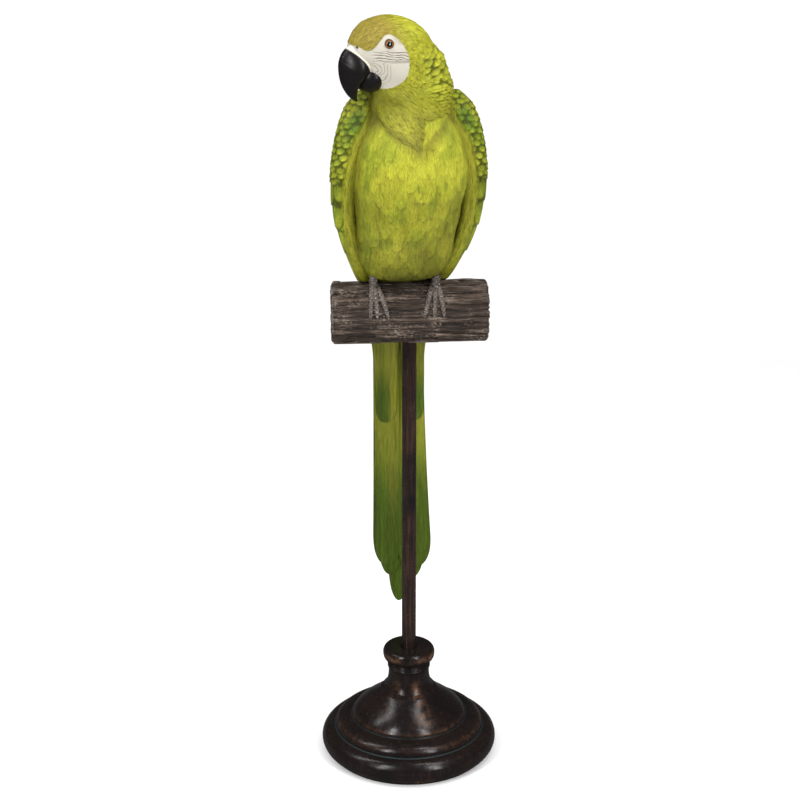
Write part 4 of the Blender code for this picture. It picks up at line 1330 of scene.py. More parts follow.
def ball(name: str, middle: Array, sizes: tuple[float, float, float], axis: Array | None = None,
         rows: int = 40, columns: int = 48) -> bpy.types.Object:
    """Builds a smooth ball or egg with its pole along an axis.

    Args:
        name: the piece's name.
        middle: its middle in the frame.
        sizes: its half sizes over, over and along the axis.
        axis: where its pole points, or up if left out.
        rows: how many rings it has.
        columns: points on each ring.

    Returns:
        The new object.
    """
    angle = np.linspace(0.02, math.pi - 0.02, rows)[:, None]
    turn = full_turn(columns)[None, :]
    ring = np.sin(angle)
    shape = np.stack([ring * np.cos(turn), ring * np.sin(turn), np.cos(angle) + 0 * turn], axis=-1)
    shape = shape * np.array(sizes)
    if axis is not None:
        pole = axis / np.linalg.norm(axis)
        over = np.cross(pole, [0.0, 0.0, 1.0])
        over /= np.linalg.norm(over)
        shape = shape @ np.stack([over, np.cross(pole, over), pole])
    return ring_mesh(name, np.asarray(middle) + shape, {"polar": angle / math.pi + 0 * turn})


@dataclass(frozen=True)
class Eye:
    """One glass eye with the rim of its lids."""

    side: int
    radius: float = 0.0038
    proud: float = 0.0014
    forward: float = 0.0118
    height: float = 0.2318
    lid_radius: float = 0.0032
    lid_half_width: float = 0.00036
    lid_half_height: float = 0.00040
    lid_gap: float = 0.0001
    lid_columns: int = 64
    lid_rows: int = 16

    def place(self) -> tuple[Array, Array]:
        """Finds the bead's middle and where it looks, in the frame.

        Returns:
            The bead's middle, and a direction one unit long.
        """
        front, half, taper = (HEAD.at(np.array([self.height]))[i, 0] for i in (3, 5, 6))
        ahead = self.forward / front
        surface = half * (1 - ahead**HEAD_POWER) ** (1 / HEAD_POWER) * (1 - taper * ahead)
        aside = surface - self.radius + self.proud
        middle = on_perch(head_places(self.forward, self.side * aside, self.height))
        aim = head_places(self.forward + 0.30, self.side * (surface + 1.0), self.height + 0.08)
        outward = on_perch(aim) - middle
        return middle, outward / np.linalg.norm(outward)

    def build_bead(self, name: str) -> bpy.types.Object:
        """Builds the glass bead."""
        middle, outward = self.place()
        return ball(name, middle, (self.radius,) * 3, outward)

    def build_lid(self, name: str) -> bpy.types.Object:
        """Builds the fleshy ring round the bead.

        Args:
            name: the piece's name.

        Returns:
            The new object.
        """
        middle, outward = self.place()
        over = np.cross(outward, [0.0, 0.0, 1.0])
        over /= np.linalg.norm(over)
        other = np.cross(outward, over)
        turn = full_turn(self.lid_columns)[None, :, None]
        tube = full_turn(self.lid_rows)[:, None, None]
        radius = self.lid_radius + self.lid_half_width * np.cos(tube)
        lift = self.radius - self.proud + self.lid_gap + self.lid_half_height * np.sin(tube)
        points = middle + radius * (np.cos(turn) * over + np.sin(turn) * other) + lift * outward
        return ring_mesh(name, points, None, None, bored=True)


@dataclass(frozen=True)
class Log:
    """The bark log: long ridges and fibres on a slightly uneven round, with worn ends."""

    rows: int = 190
    columns: int = 256
    end_round: float = 0.0030
    relief: float = 0.0011
    grain_rise: float = 0.0013
    fibre_rise: float = 0.0007
    ridges_round: int = 30
    ridge_length: float = 0.024

    def build(self) -> bpy.types.Object:
        """Builds the log.

        Returns:
            The new object.
        """
        along = np.linspace(-1, 1, self.rows)
        along = LOG_HALF * (0.8 * along + 0.2 * np.sin(0.5 * math.pi * along))[:, None]
        turn = full_turn(self.columns, -math.pi)[None, :]
        angle = turn - 0.35 * np.sin(turn - 0.5)
        wander = 0.35 * np.sin(38.0 * along + 1.3) + 0.2 * np.sin(75.0 * along)
        ridges = 0.55 * np.sin(11 * angle + 2.2 * wander) + 0.45 * np.sin(17 * angle - 3.0 * wander + 0.8)
        uneven = 0.3 * np.sin(2 * angle + 0.7) + 0.25 * np.sin(3 * angle + 25.0 * along)
        grain = self.grain(angle, along)
        fibre = self.fibre(angle, along)
        radius = LOG_RADIUS + self.relief * np.minimum(1.0, 0.55 * ridges + uneven)
        radius = radius + self.grain_rise * (grain - 0.7) + self.fibre_rise * (fibre - 0.5)
        share = np.maximum(0.0, 1 - (LOG_HALF - np.abs(along)) / self.end_round)
        radius = radius - self.end_round * share**2
        ragged = self.end_round * share * (0.3 * np.sin(5 * angle + 40 * along) + 0.5 * (fibre - 0.5))
        x = along - np.sign(along) * np.abs(ragged)
        lift = PERCH_HEIGHT + radius * np.sin(angle)
        points = np.stack([x + 0 * angle, -radius * np.cos(angle), lift], axis=-1)
        height = 0.30 * ridges + 0.8 * (grain - 0.5) + 0.55 * (fibre - 0.5)
        end_chips = 0.8 * smoothstep(0.45, 0.95, share) * (fibre > 0.45)
        top_chips = 0.35 * smoothstep(0.75, 1.2, angle) * (fibre > 0.5)
        masks = {"crest": np.clip(0.5 + 0.55 * height, 0, 1), "chip": end_chips + top_chips}
        flow = np.stack([LOG_RADIUS * angle + 0 * along, along + 0 * angle], axis=-1)
        return ring_mesh("bark_log", points, masks, flow)

    def grain(self, angle: Array, along: Array) -> Array:
        """Ridges that run along the log and stop in cracks.

        Args:
            angle: place round the log.
            along: place along it.

        Returns:
            Heights from 0 to 1.
        """
        columns = self.ridges_round
        sway = 0.9 * (soft_noise(angle * 1.2, along / 0.02, 61) - 0.5)
        place = (angle / (2 * math.pi) * columns) + sway
        cells = np.floor(place)
        slip = 0.03 * hash_unit(cells % columns, cells * 0, 62)
        height = hash_unit(cells % columns, np.floor((along + slip) / self.ridge_length), 63)
        across = 1 - (2 * (place - cells) - 1) ** 4
        return np.clip(0.30 + 0.70 * height, 0, 1) * across

    def fibre(self, angle: Array, along: Array) -> Array:
        """Fine long fibres."""
        sway = 1.2 * (soft_noise(angle * 2.5, along / 0.012, 66) - 0.5)
        return soft_noise(angle * 19 + sway, along / 0.016 + 40, 67)


@dataclass(frozen=True)
class Foot:
    """One foot: leg, ball of the foot and four scaly toes that lie round the log."""

    name: str
    leg_x: float
    spreads: tuple[float, float, float]
    rear_spread: float
    rows: int = 90
    columns: int = 28
    toe_radius: float = 0.0021
    tip_radius: float = 0.0012
    leg_radius: float = 0.0033
    ball_radius: float = 0.0052
    leg_rows: int = 40
    leg_depth: float = -0.0115
    leg_rise: float = 0.0100
    toe_scale: float = 0.0018
    leg_scale: float = 0.0020
    toe_start: float = math.radians(84.0)
    front_end: float = math.radians(8.0)
    rear_end: float = math.radians(166.0)
    ball_turn: float = math.radians(72.0)

    def tube(self, name: str, points: Array, radii: Array, tightness: float) -> bpy.types.Object:
        """Builds a beaded tube.

        Args:
            name: the piece's name.
            points: its middle line.
            radii: its radius at each point.
            tightness: length of one scale along it.

        Returns:
            The new object.
        """
        ahead = np.gradient(points, axis=0)
        ahead /= np.linalg.norm(ahead, axis=1, keepdims=True)
        side = np.cross(ahead, np.array([1.0, 0.0, 0.0]))
        flat = np.linalg.norm(side, axis=1, keepdims=True) < 0.2
        side = np.where(flat, np.cross(ahead, [0.0, 1.0, 0.0]), side)
        side /= np.linalg.norm(side, axis=1, keepdims=True)
        other = np.cross(ahead, side)
        turn = full_turn(self.columns)[None, :, None]
        length = np.concatenate([[0], np.cumsum(np.linalg.norm(np.diff(points, axis=0), axis=1))])[:, None]
        cell = length / tightness
        bead = np.sqrt(np.clip(1 - (2 * (cell % 1.0) - 1) ** 2, 0, 1))
        pads = 0.70 + 0.30 * np.cos(3 * turn[:, :, 0] + math.pi * np.floor(cell))
        lift = 1 + 0.26 * (bead * pads - 0.6)
        spokes = np.cos(turn) * side[:, None] + np.sin(turn) * other[:, None]
        ring = radii[:, None, None] * lift[..., None] * spokes
        return ring_mesh(name, points[:, None] + ring, {"crest": 0.2 + 0.75 * bead * pads})

    def build(self) -> list[bpy.types.Object]:
        """Builds the leg and the toes.

        Returns:
            The new objects.
        """
        pieces = []
        ends = [self.front_end] * len(self.spreads) + [self.rear_end]
        share = np.linspace(0, 1, self.rows)
        for number, (spread, end) in enumerate(zip((*self.spreads, self.rear_spread), ends)):
            angle = self.toe_start + (end - self.toe_start) * share
            lift = LOG_RADIUS - 0.0008 + self.toe_radius * (1 - 0.55 * share**3)
            x = self.leg_x + spread * share**0.8
            points = np.stack([x, -lift * np.cos(angle), PERCH_HEIGHT + lift * np.sin(angle)], axis=-1)
            radii = self.toe_radius + (self.tip_radius - self.toe_radius) * share**3
            knuckles = np.exp(-(((share - 0.45) / 0.07) ** 2)) + np.exp(-(((share - 0.8) / 0.06) ** 2))
            radii = radii + 0.0003 * knuckles
            radii = radii * np.sqrt(np.clip((1 - share) / 0.05 + 0.15, 0, 1))
            pieces.append(self.tube(f"{self.name}_toe_{number + 1}", points, radii, self.toe_scale))
        low, high = PERCH_HEIGHT + 0.6 * LOG_RADIUS, PERCH_HEIGHT + LOG_RADIUS + self.leg_rise
        height = np.linspace(low, high, self.leg_rows)
        leg = np.stack(np.broadcast_arrays(self.leg_x, self.leg_depth, height), axis=-1)
        radii = np.full(self.leg_rows, self.leg_radius)
        pieces.append(self.tube(f"{self.name}_leg", leg, radii, self.leg_scale))
        reach = LOG_RADIUS - 0.4 * self.ball_radius
        back, up = reach * math.cos(self.ball_turn), reach * math.sin(self.ball_turn)
        middle = (self.leg_x, -back, PERCH_HEIGHT + up)
        pieces.append(ball(f"{self.name}_ball", middle, (self.ball_radius,) * 3))
        return pieces


def bend(middle_r: float, middle_z: float, radius_r: float, radius_z: float, start: float, end: float,
         steps: int) -> list[tuple[float, float]]:
    """Points on an elliptic arc, with angles in degrees.

    Args:
        middle_r: radius of the arc's middle.
        middle_z: height of the arc's middle.
        radius_r: the arc's radius outward.
        radius_z: the arc's radius upward.
        start: first angle.
        end: last angle.
        steps: how many steps it has.

    Returns:
        Radius and height of each point.
    """
    turns = np.radians(np.linspace(start, end, steps + 1))
    return [(middle_r + radius_r * math.cos(t), middle_z + radius_z * math.sin(t)) for t in turns]


@dataclass(frozen=True)
class Base:
    """The turned and stepped bell base, hollow below."""

    sides: int = 150
    ring_top: float = 0.0326
    bell_top: float = 0.0781
    band_top: float = 0.0853
    height: float = 0.0966
    socket: float = 0.0062
    collar_radius: float = 0.0221
    collar_round: float = 0.0032
    neck_radius: float = 0.0174
    bead: float = 0.0009
    ring_radius: float = 0.0484
    foot_radius: float = 0.0750
    foot_bead: float = 0.0112
    hollow_radius: float = 0.0585
    boss_radius: float = 0.0223
    roof: float = 0.0596
    bore: float = 0.0033

    def outline(self) -> list[tuple[float, float]]:
        """The base's section, down the outside and up the hollow.

        Returns:
            Radius and height of each point.
        """
        floor = self.height - 0.0060
        waist = self.band_top + 0.55 * 0.0113
        points = [(self.socket, floor), (self.socket, self.height - 0.0016)]
        points += bend(self.socket + 0.0012, self.height - 0.0008, 0.0010, 0.0008, 200, 90, 6)
        side = self.collar_radius - self.collar_round
        points += bend(side, waist, self.collar_round, self.height - waist, 90, 0, 14)
        points += bend(side, waist, self.collar_round, waist - self.band_top, 0, -62, 10)[1:]
        for number in range(4):
            middle = self.band_top - self.bead - 2.05 * self.bead * number
            points += bend(self.neck_radius, middle, 0.0011 - 0.0001 * number, self.bead, 80, -80, 7)
        rim = self.ring_top + 0.055 * 0.0455
        for t in np.linspace(0.02, 1, 46):
            share = t**3 / (t**3 + 0.85 * (1 - t))
            points.append((0.0173 + 0.0311 * share, self.bell_top - 0.0002 + (rim - self.bell_top) * t))
        points += [(self.ring_radius, rim - 0.0008), (0.0480, self.ring_top + 0.0006)]
        points.append((0.0474, self.ring_top - 0.0006))
        middle = 0.0224 + 0.14 * 0.0102
        points += bend(0.0488, middle, 0.0145, self.ring_top - middle, 88, 0, 22)
        points += [(0.0633, middle - 0.0006), (0.0626, 0.0219)]
        bead = self.foot_bead
        points += bend(self.foot_radius - bead, bead, bead, bead, 82, -62, 34)
        points += [(0.0685, 0.0), (self.hollow_radius, 0.0), (self.hollow_radius, 0.0174), (0.0434, 0.0276)]
        points += [(self.boss_radius, self.roof), (self.bore, self.roof), (self.bore, floor)]
        return points

    def build(self) -> bpy.types.Object:
        """Builds the base.

        Returns:
            The new object.
        """
        outline = np.array(self.outline())
        turn = full_turn(self.sides)[None, :]
        radius, height = outline[:, :1], outline[:, 1:]
        points = np.stack([radius * np.cos(turn), radius * np.sin(turn), height + 0 * turn], axis=-1)
        grooves = [(self.ring_radius, self.ring_top), (0.0629, 0.0222)]
        near = np.min([np.hypot(radius - r, height - z) for r, z in grooves], axis=0)
        bands = (height > self.bell_top) * (height < self.band_top) * smoothstep(0.0182, 0.0176, radius)
        rims = [(self.collar_radius, 0.0918, 1.6), (self.ring_radius, 0.0350, 0.5)]
        rims += [(0.0620, 0.0290, 0.3), (0.0720, 0.0040, 0.4)]
        worn = [share * np.exp(-((np.hypot(radius - r, height - z) / 0.0022) ** 2)) for r, z, share in rims]
        rub_and_highlight = np.max(worn, axis=0)
        # Painted highlight: copper-tinted streaks down the bell at two fixed turns, laid in one mask with the
        # worn rims.
        bell = smoothstep(0.0740, 0.0660, height) * smoothstep(0.0380, 0.0480, height) * (radius < 0.0480)
        streak = np.exp(-(((turn - 5.02) / 0.17) ** 2))
        bell = bell * np.maximum(streak, 0.25 * np.exp(-(((turn - 4.1) / 0.2) ** 2)))
        masks = {
            "groove": np.maximum(smoothstep(0.0013, 0.0005, near), 0.35 * bands) + 0 * turn,
            "rub_and_highlight": np.maximum(0.7 * rub_and_highlight, bell) + 0 * turn,
        }
        return ring_mesh("turned_base", points, masks, None, bored=True)


@dataclass(frozen=True)
class PlumageFinish:
    """Airbrushed plumage with fine strokes, a dark wash and painted shade in the recesses, more painted shade
    and light from the masks, satin sealed.
    """

    base: Colour = (0.455, 0.442, 0.026)
    bright: Colour = (0.600, 0.590, 0.046)
    green: Colour = (0.140, 0.230, 0.010)
    ochre: Colour = (0.345, 0.262, 0.040)
    olive_shade: Colour = (0.170, 0.155, 0.014)
    bare: Colour = (0.530, 0.500, 0.425)
    wash_and_shade: Colour = (0.040, 0.045, 0.003)
    crease: Colour = (0.120, 0.095, 0.065)
    roughness: float = 0.40

    def make(self, effects: Effects) -> bpy.types.Material:
        """Builds the material.

        Args:
            effects: the shared effects.

        Returns:
            The material.
        """
        material, shader, principled = new_material("painted_plumage")
        strokes = effects.strokes.use(shader, {"Width": 0.0005, "Length": 0.0026}).outputs
        patches = effects.patches.use(shader, {"Scale": 75.0}).outputs["Patches"]
        broad = effects.patches.use(shader, {"Scale": 42.0}).outputs["Patches"]
        mottle = shader.attribute("mottle")
        bright = shader.times(shader.times(patches, mottle), 0.28)
        colour = shader.mix(shader.math("ADD", shader.attribute("bright"), bright), self.base, self.bright)
        haze = shader.times(shader.times(broad, mottle), 0.30)
        colour = shader.mix(haze, colour, self.green)
        colour = shader.mix(shader.attribute("green"), colour, self.green)
        colour = shader.mix(shader.attribute("ochre"), colour, self.ochre)
        # Painted shade: darker olive where the masks call for it.
        colour = shader.mix(shader.attribute("olive_shade"), colour, self.olive_shade)
        # Tone also carries painted shade and light, besides each feather's own tone.
        tone = shader.span(shader.attribute("tone"), 0.0, 1.0, 0.30, 1.34)
        colour = shader.mix(1.0, colour, tone, "MULTIPLY")
        streak = shader.span(strokes["Fine"], 0.0, 1.0, 0.68, 1.12)
        colour = shader.mix(1.0, colour, streak, "MULTIPLY")
        tuft = shader.span(strokes["Coarse"], 0.0, 1.0, 0.82, 1.08)
        colour = shader.mix(1.0, colour, tuft, "MULTIPLY")
        # Dark wash and painted shade in the recesses and along the feathers' edges.
        colour = shader.mix(shader.times(shader.attribute("groove"), 0.85), colour, self.wash_and_shade)
        bare = shader.span(shader.attribute("face_edge"), 0.47, 0.53)
        crease = self.crease_lines(shader)
        skin = shader.mix(shader.times(patches, 0.12), self.bare, self.crease)
        skin = shader.mix(shader.times(crease, 0.85), skin, self.crease)
        colour = shader.mix(bare, colour, skin)
        relief = shader.mix(bare, strokes["Fine"], shader.math("SUBTRACT", 1.0, crease))
        rough = shader.span(strokes["Coarse"], 0.0, 1.0, self.roughness - 0.05, self.roughness + 0.10)
        shader.fill(principled, {
            "Base Color": colour,
            "Roughness": rough,
            "Normal": shader.bump(relief, 0.00045, 0.8),
            "Specular IOR Level": 0.28,
        })
        return material

    def crease_lines(self, shader: Shader) -> Socket:
        """Draws thin lines where the stored phase passes a whole number.

        Args:
            shader: calls for the material's node tree.

        Returns:
            How strongly a line shows.
        """
        phase = shader.times(shader.attribute("crease"), CREASE_PHASES * 2 * math.pi)
        depth = shader.times(shader.span(shader.math("COSINE", phase), 0.30, 0.98),
                            shader.attribute("creased"))
        return shader.times(depth, shader.span(shader.noise(shader.place(), 260.0), 0.20, 0.50))


@dataclass(frozen=True)
class BeakFinish:
    """Glossy black horn under a white cere."""

    horn: Colour = (0.006, 0.005, 0.005)
    cere: Colour = (0.660, 0.620, 0.520)

    def make(self) -> bpy.types.Material:
        """Builds the material.

        Returns:
            The material.
        """
        material, shader, principled = new_material("painted_beak")
        cere = shader.attribute("cere")
        noise = shader.noise(shader.place(), 160.0)
        horn = shader.mix(noise, self.horn, tuple(1.8 * part for part in self.horn))
        shader.fill(principled, {
            "Base Color": shader.mix(cere, horn, self.cere),
            "Roughness": shader.span(cere, 0.0, 1.0, 0.32, 0.5),
            "Normal": shader.bump(noise, 0.0002, 0.15),
            "Specular IOR Level": 0.26,
        })
        return material


@dataclass(frozen=True)
class EyeFinish:
    """A glass bead with a black pupil in an orange ring, and a painted highlight in the middle of the pupil.
    """

    pupil: Colour = (0.006, 0.005, 0.005)
    glint: Colour = (0.480, 0.560, 0.640)
    iris: Colour = (0.620, 0.210, 0.030)
    rim: Colour = (0.060, 0.035, 0.020)

    def make(self) -> bpy.types.Material:
        """Builds the material.

        Returns:
            The material.
        """
        material, shader, principled = new_material("eye_glass")
        polar = shader.attribute("polar")
        iris = shader.noise(shader.place(), 2500.0)
        shade = tuple(0.55 * part for part in self.iris)
        colour = shader.mix(shader.span(iris, 0.35, 0.65), self.iris, shade)
        colour = shader.mix(shader.span(polar, 0.216, 0.204), colour, self.pupil)
        # Painted highlight: a pale spot in the middle of the pupil.
        colour = shader.mix(shader.span(polar, 0.060, 0.030), colour, self.glint)
        colour = shader.mix(shader.span(polar, 0.245, 0.262), colour, self.rim)
        shader.fill(principled, {"Base Color": colour, "Roughness": 0.06, "Specular IOR Level": 0.55})
        return material


@dataclass(frozen=True)
class PaintFinish:
    """One flat paint with a slight unevenness."""

    name: str
    colour: Colour
    roughness: float = 0.5

    def make(self) -> bpy.types.Material:
        """Builds the material.

        Returns:
            The material.
        """
        material, shader, principled = new_material(self.name)
        noise = shader.noise(shader.place(), 600.0)
        shade = tuple(0.8 * part for part in self.colour)
        colour = shader.mix(noise, self.colour, shade)
        shader.fill(principled, {"Base Color": colour, "Roughness": self.roughness})
        return material


@dataclass(frozen=True)
class BarkFinish:
    """Dark painted bark with dry-brushed crests and small chips."""

    name: str = "painted_bark"
    dark: Colour = (0.008, 0.006, 0.005)
    middle: Colour = (0.066, 0.042, 0.030)
    crest: Colour = (0.330, 0.255, 0.200)
    chip: Colour = (0.520, 0.470, 0.420)
    fibre: tuple[float, float, float] = (85.0, 1300.0, 1300.0)
    fleck: tuple[float, float, float] = (420.0, 900.0, 900.0)

    def make(self, effects: Effects) -> bpy.types.Material:
        """Builds the material.

        Args:
            effects: the shared effects.

        Returns:
            The material.
        """
        material, shader, principled = new_material(self.name)
        grain = shader.noise(shader.stretch(shader.place(), self.fibre), 1.0, 5.0, 0.65)
        worn = effects.patches.use(shader, {"Scale": 70.0, "Speck Scale": 300.0}).outputs
        crest = shader.attribute("crest")
        height = shader.math("ADD", grain, shader.times(crest, 0.35))
        colour = shader.mix(shader.span(height, 0.50, 0.80), self.dark, self.middle)
        brushed = shader.times(shader.span(crest, 0.42, 0.85), shader.span(grain, 0.44, 0.60))
        brushed = shader.times(brushed, shader.span(worn["Patches"], 0.0, 1.0, 0.15, 0.95))
        colour = shader.mix(brushed, colour, self.crest)
        fleck_place = shader.stretch(shader.place(), self.fleck)
        flecks = shader.span(shader.noise(fleck_place, 1.0, 2.0), 0.55, 0.64)
        flecks = shader.times(flecks, shader.span(worn["Patches"], 0.35, 1.0, 0.0, 0.85))
        colour = shader.mix(flecks, colour, self.crest)
        chips = shader.times(worn["Specks"], shader.span(crest, 0.35, 0.65))
        chips = shader.times(chips, shader.span(worn["Patches"], 0.25, 0.75))
        worn_chips = shader.times(shader.attribute("chip"), shader.span(grain, 0.45, 0.6))
        chips = shader.math("ADD", chips, worn_chips)
        colour = shader.mix(shader.times(chips, 0.7), colour, self.chip)
        shader.fill(principled, {
            "Base Color": colour,
            "Roughness": 0.55,
            "Specular IOR Level": 0.3,
            "Normal": shader.bump(grain, 0.0011, 1.0),
        })
        return material


@dataclass(frozen=True)
class BronzeFinish:
    """Dark antique bronze with copper worn through on the rims, painted copper highlight streaks down the
    bell, and verdigris in the grooves.
    """

    name: str = "antique_bronze"
    dark: Colour = (0.007, 0.005, 0.005)
    brown: Colour = (0.020, 0.012, 0.009)
    rub_and_highlight_copper: Colour = (0.420, 0.190, 0.090)
    verdigris: Colour = (0.022, 0.044, 0.046)
    specular: float = 0.34

    def make(self, effects: Effects) -> bpy.types.Material:
        """Builds the material.

        Args:
            effects: the shared effects.

        Returns:
            The material.
        """
        material, shader, principled = new_material(self.name)
        worn = effects.patches.use(shader, {"Scale": 28.0, "Speck Scale": 420.0}).outputs
        fine = effects.patches.use(shader, {"Scale": 210.0, "Speck Scale": 900.0}).outputs
        drawn = shader.stretch(shader.place(), (500.0, 500.0, 22.0))
        streaks = shader.span(shader.noise(drawn, 1.0), 0.42, 0.68)
        streaks = shader.math("ADD", shader.times(streaks, 0.7), 0.2)
        brown = shader.times(worn["Patches"], streaks)
        colour = shader.mix(brown, self.dark, self.brown)
        # Copper shows on the worn rims and as the painted highlight streaks on the bell.
        rub_and_highlight = shader.times(shader.attribute("rub_and_highlight"), fine["Patches"])
        rub_and_highlight = shader.times(rub_and_highlight, worn["Patches"])
        flecks = shader.times(worn["Specks"], shader.span(fine["Patches"], 0.6, 1.0))
        rub_and_highlight = shader.math("ADD", shader.times(rub_and_highlight, 0.55), shader.times(flecks, 0.06))
        colour = shader.mix(rub_and_highlight, colour, self.rub_and_highlight_copper)
        groove = shader.attribute("groove")
        colour = shader.mix(shader.times(groove, 0.8), colour, self.verdigris)
        rough = shader.span(fine["Patches"], 0.0, 1.0, 0.19, 0.28)
        shader.fill(principled, {
            "Base Color": colour,
            "Roughness": shader.math("ADD", rough, shader.times(groove, 0.3)),
            "Metallic": shader.times(rub_and_highlight, 0.8),
            "Normal": shader.bump(fine["Patches"], 0.0003, 0.12),
            "Specular IOR Level": self.specular,
        })
        return material


@dataclass(frozen=True)
class MetalFinish:
    """A plain metal with fine brushed marks."""

    name: str
    colour: Colour
    roughness: float = 0.35

    def make(self) -> bpy.types.Material:
        """Builds the material.

        Returns:
            The material.
        """
        material, shader, principled = new_material(self.name)
        marks = shader.noise(shader.stretch(shader.place(), (300.0, 300.0, 2400.0)), 1.0)
        shade = tuple(0.8 * part for part in self.colour)
        shader.fill(principled, {
            "Base Color": shader.mix(marks, self.colour, shade),
            "Roughness": shader.span(marks, 0.3, 0.7, self.roughness - 0.08, self.roughness + 0.1),
            "Metallic": 1.0,
        })
        return material


@dataclass(frozen=True)
class SoftBox:
    """A lamp that aims at the figurine: place, width, height and power in watts."""

    name: str
    place: tuple[float, float, float]
    width: float
    height: float
    power: float
    aim: tuple[float, float, float] = (0.0, 0.0, 0.35)
    mirrored: bool = True

    def build(self) -> None:
        """Builds the lamp."""
        lamp = bpy.data.lights.new(self.name, "AREA")
        lamp.shape = "RECTANGLE"
        lamp.size = self.width
        lamp.size_y = self.height
        lamp.energy = self.power
        thing = bpy.data.objects.new(self.name, lamp)
        thing.location = self.place
        thing.visible_glossy = self.mirrored
        thing.rotation_euler = (Vector(self.place) - Vector(self.aim)).to_track_quat("Z", "Y").to_euler()
        bpy.context.scene.collection.objects.link(thing)


@dataclass(frozen=True)
class Studio:
    """White floor and backdrop, soft boxes and the camera."""

    distance: float = 1.925
    height: float = 1.11
    pitch: float = math.radians(22.2)
    yaw: float = math.radians(-3.0)
    focal: float = 2522.0
    picture: float = 800.0
    shift: float = -9.2
    boxes: tuple[SoftBox, ...] = (
        SoftBox("key_left", (-1.10, -1.30, 1.35), 0.13, 1.20, 17.0),
        SoftBox("key_right", (0.95, -1.45, 1.30), 0.20, 1.40, 17.0),
        SoftBox("strip_left", (-0.98, -0.05, 1.36), 0.16, 0.90, 4.0),
        SoftBox("strip_right", (0.62, -0.50, 1.80), 0.16, 1.00, 6.0),
        SoftBox("overhead", (0.0, -0.25, 2.30), 1.70, 1.50, 20.0, mirrored=False),
    )
    scattered: float = 0.44
    mirrored: float = 0.05
    glow: float = 0.18
    backdrop: float = 1.05
    floor_half: float = 0.9
    floor_paint: Colour = (0.84, 0.84, 0.84)
    floor_mirrored: Colour = (0.10, 0.10, 0.10)

    def aim_camera(self) -> None:
        """Places the camera where the photo was taken from."""
        view = Vector((-math.sin(self.yaw), math.cos(self.yaw), 0.0))
        right = Vector((math.cos(self.yaw), math.sin(self.yaw), 0.0))
        aside = self.shift / self.focal * self.distance / math.cos(self.pitch)
        place = -view * self.distance + right * aside + Vector((0, 0, self.height))
        look = view * math.cos(self.pitch) - Vector((0, 0, math.sin(self.pitch)))
        turn = Matrix((right, right.cross(look), -look)).transposed()
        lens = bpy.data.cameras.new("camera")
        lens.sensor_width = 36.0
        lens.lens = 36.0 * self.focal / self.picture
        lens.clip_end = 50.0
        camera = bpy.data.objects.new("camera", lens)
        camera.matrix_world = Matrix.Translation(place) @ turn.to_4x4()
        bpy.context.scene.collection.objects.link(camera)
        bpy.context.scene.camera = camera

    def light_world(self) -> None:
        """Shows a white backdrop, but lights and mirrors a dimmer room."""
        world = bpy.data.worlds.new("studio")
        world.use_nodes = True
        shader = Shader(world.node_tree)
        path = shader.node("ShaderNodeLightPath").outputs
        dimmed = shader.times(path["Is Glossy Ray"], self.mirrored - self.scattered)
        level = shader.math("ADD", self.scattered, dimmed)
        seen = shader.times(path["Is Camera Ray"], self.backdrop - self.scattered)
        level = shader.math("ADD", level, seen)
        shader.fill(world.node_tree.nodes["Background"], {"Color": (1.0, 1.0, 1.0), "Strength": level})
        bpy.context.scene.world = world

    def lay_floor(self) -> None:
        """Lays a plain white floor."""
        size = self.floor_half
        mesh = bpy.data.meshes.new("floor")
        corners = [(-size, -size, 0), (size, -size, 0), (size, size, 0), (-size, size, 0)]
        mesh.from_pydata(corners, [], [(0, 1, 2, 3)])
        floor = bpy.data.objects.new("floor", mesh)
        floor.location.z = -0.0002
        bpy.context.scene.collection.objects.link(floor)
        material, shader, principled = new_material("floor_white")
        mirrored = shader.node("ShaderNodeLightPath").outputs["Is Glossy Ray"]
        shader.fill(principled, {
            "Base Color": shader.mix(mirrored, self.floor_paint, self.floor_mirrored),
            "Emission Color": shader.mix(mirrored, (self.glow,) * 3, (0.0, 0.0, 0.0)),
            "Emission Strength": 1.0,
            "Roughness": 0.9,
            "Specular IOR Level": 0.1,
        })
        mesh.materials.append(material)

    def build(self) -> None:
        """Builds the floor, the lights and the camera."""
        self.lay_floor()
        self.light_world()
        for box in self.boxes:
            box.build()
        settings = bpy.context.scene.view_settings
        settings.view_transform = "Standard"
        settings.look = "None"
        self.aim_camera()


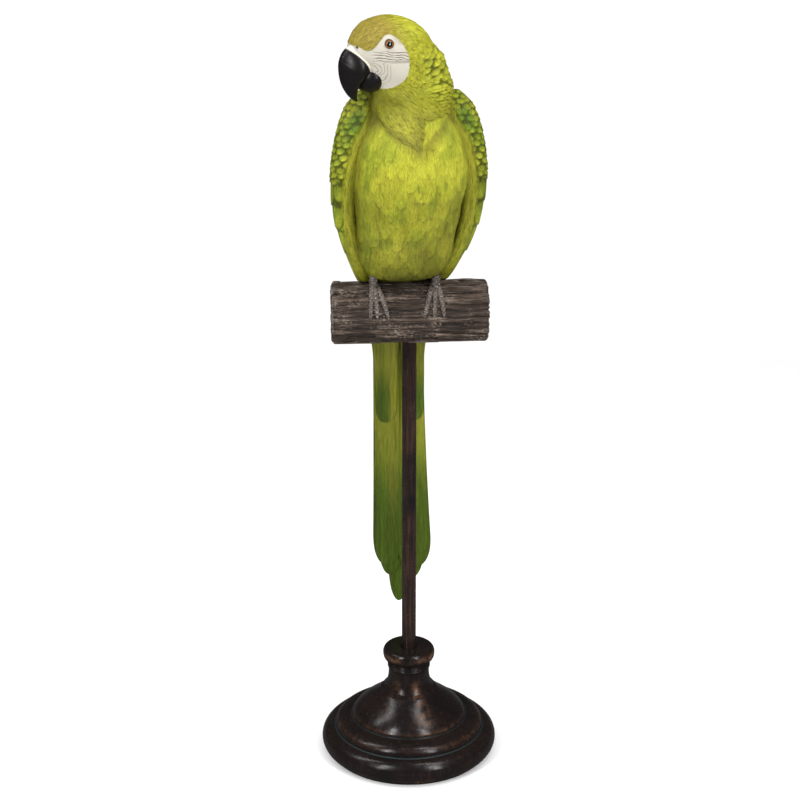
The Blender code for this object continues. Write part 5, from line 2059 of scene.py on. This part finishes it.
@dataclass(frozen=True)
class Figurine:
    """The whole ornament."""

    wings: tuple[Wing, ...] = (
        Wing("right_wing", -1, 0.35, 0.45, shoulder_lift=0.0020),
        Wing("left_wing", 1, 0.75, 0.50),
    )
    feet: tuple[Foot, ...] = (
        Foot("right_foot", -0.0296, (-0.0030, 0.0026, 0.0116), -0.0090),
        Foot("left_foot", 0.0208, (-0.0100, -0.0020, 0.0062), 0.0090),
    )

    def dress_bird(self, effects: Effects) -> None:
        """Builds and paints the bird.

        Args:
            effects: the shared effects.
        """
        plumage = PlumageFinish().make(effects)
        for piece in [Trunk().build(), Head().build()] + [wing.build() for wing in self.wings]:
            hand_in(piece, plumage, Slot.PLUMAGE, "macaw")
        for number, feather in enumerate(TAIL_FEATHERS):
            hand_in(feather.build(f"tail_feather_{number + 1}"), plumage, Slot.PLUMAGE, "macaw")
        horn = BeakFinish().make()
        beak = Beak()
        hand_in(beak.build_upper(), horn, Slot.PLUMAGE, "macaw")
        hand_in(beak.build_lower(), horn, Slot.PLUMAGE, "macaw")
        nostril = on_perch(head_places(0.0326, 0.0068, 0.2287))
        dark = PaintFinish("nostril_paint", (0.045, 0.035, 0.030)).make()
        hand_in(ball("nostril", nostril, (0.0011, 0.0011, 0.0008)), dark, Slot.PLUMAGE, "macaw")
        glass = EyeFinish().make()
        lid = PaintFinish("lid_paint", (0.120, 0.070, 0.045)).make()
        for name, side in (("left_eye", 1), ("right_eye", -1)):
            eye = Eye(side)
            hand_in(eye.build_bead(f"{name}_bead"), glass, Slot.EYE, name)
            hand_in(eye.build_lid(f"{name}_lid"), lid, Slot.PLUMAGE, "macaw")

    def dress_perch(self, effects: Effects) -> None:
        """Builds and paints the log and the feet.

        Args:
            effects: the shared effects.
        """
        hand_in(Log().build(), BarkFinish().make(effects), Slot.BARK, "perch_log")
        skin = BarkFinish("painted_feet", (0.030, 0.022, 0.018), (0.140, 0.112, 0.096), (0.420, 0.370, 0.320),
                          (0.50, 0.46, 0.42), (700.0, 700.0, 700.0)).make(effects)
        for foot in self.feet:
            for piece in foot.build():
                hand_in(piece, skin, Slot.BARK, "perch_log")

    def dress_stand(self, effects: Effects) -> None:
        """Builds and finishes the base, the pole and what holds them.

        Args:
            effects: the shared effects.
        """
        bronze = BronzeFinish().make(effects)
        tube = BronzeFinish("pole_bronze", (0.008, 0.006, 0.006), (0.075, 0.036, 0.022), specular=0.36)
        tube = tube.make(effects)
        hand_in(Base().build(), bronze, Slot.BRONZE, "base")
        steel = MetalFinish("zinc_steel", (0.55, 0.56, 0.58)).make()
        brass = MetalFinish("brass", (0.72, 0.52, 0.22)).make()
        for name, finish in (("pole_tube", tube), ("tie_rod", steel), ("rod_insert", brass),
                             ("base_washer", steel), ("base_nut", steel)):
            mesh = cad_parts[name].data
            mesh.materials.clear()
            mesh.materials.append(finish)
            LOG.info("%s: CAD piece kept", name)

    def build(self) -> None:
        """Builds every part of the ornament."""
        effects = Effects()
        self.dress_bird(effects)
        self.dress_perch(effects)
        self.dress_stand(effects)


def main() -> None:
    """Builds the ornament and the studio."""
    Figurine().build()
    Studio().build()


if __name__ == "__main__":
    logging.basicConfig(level=logging.INFO, format="%(message)s")
    main()
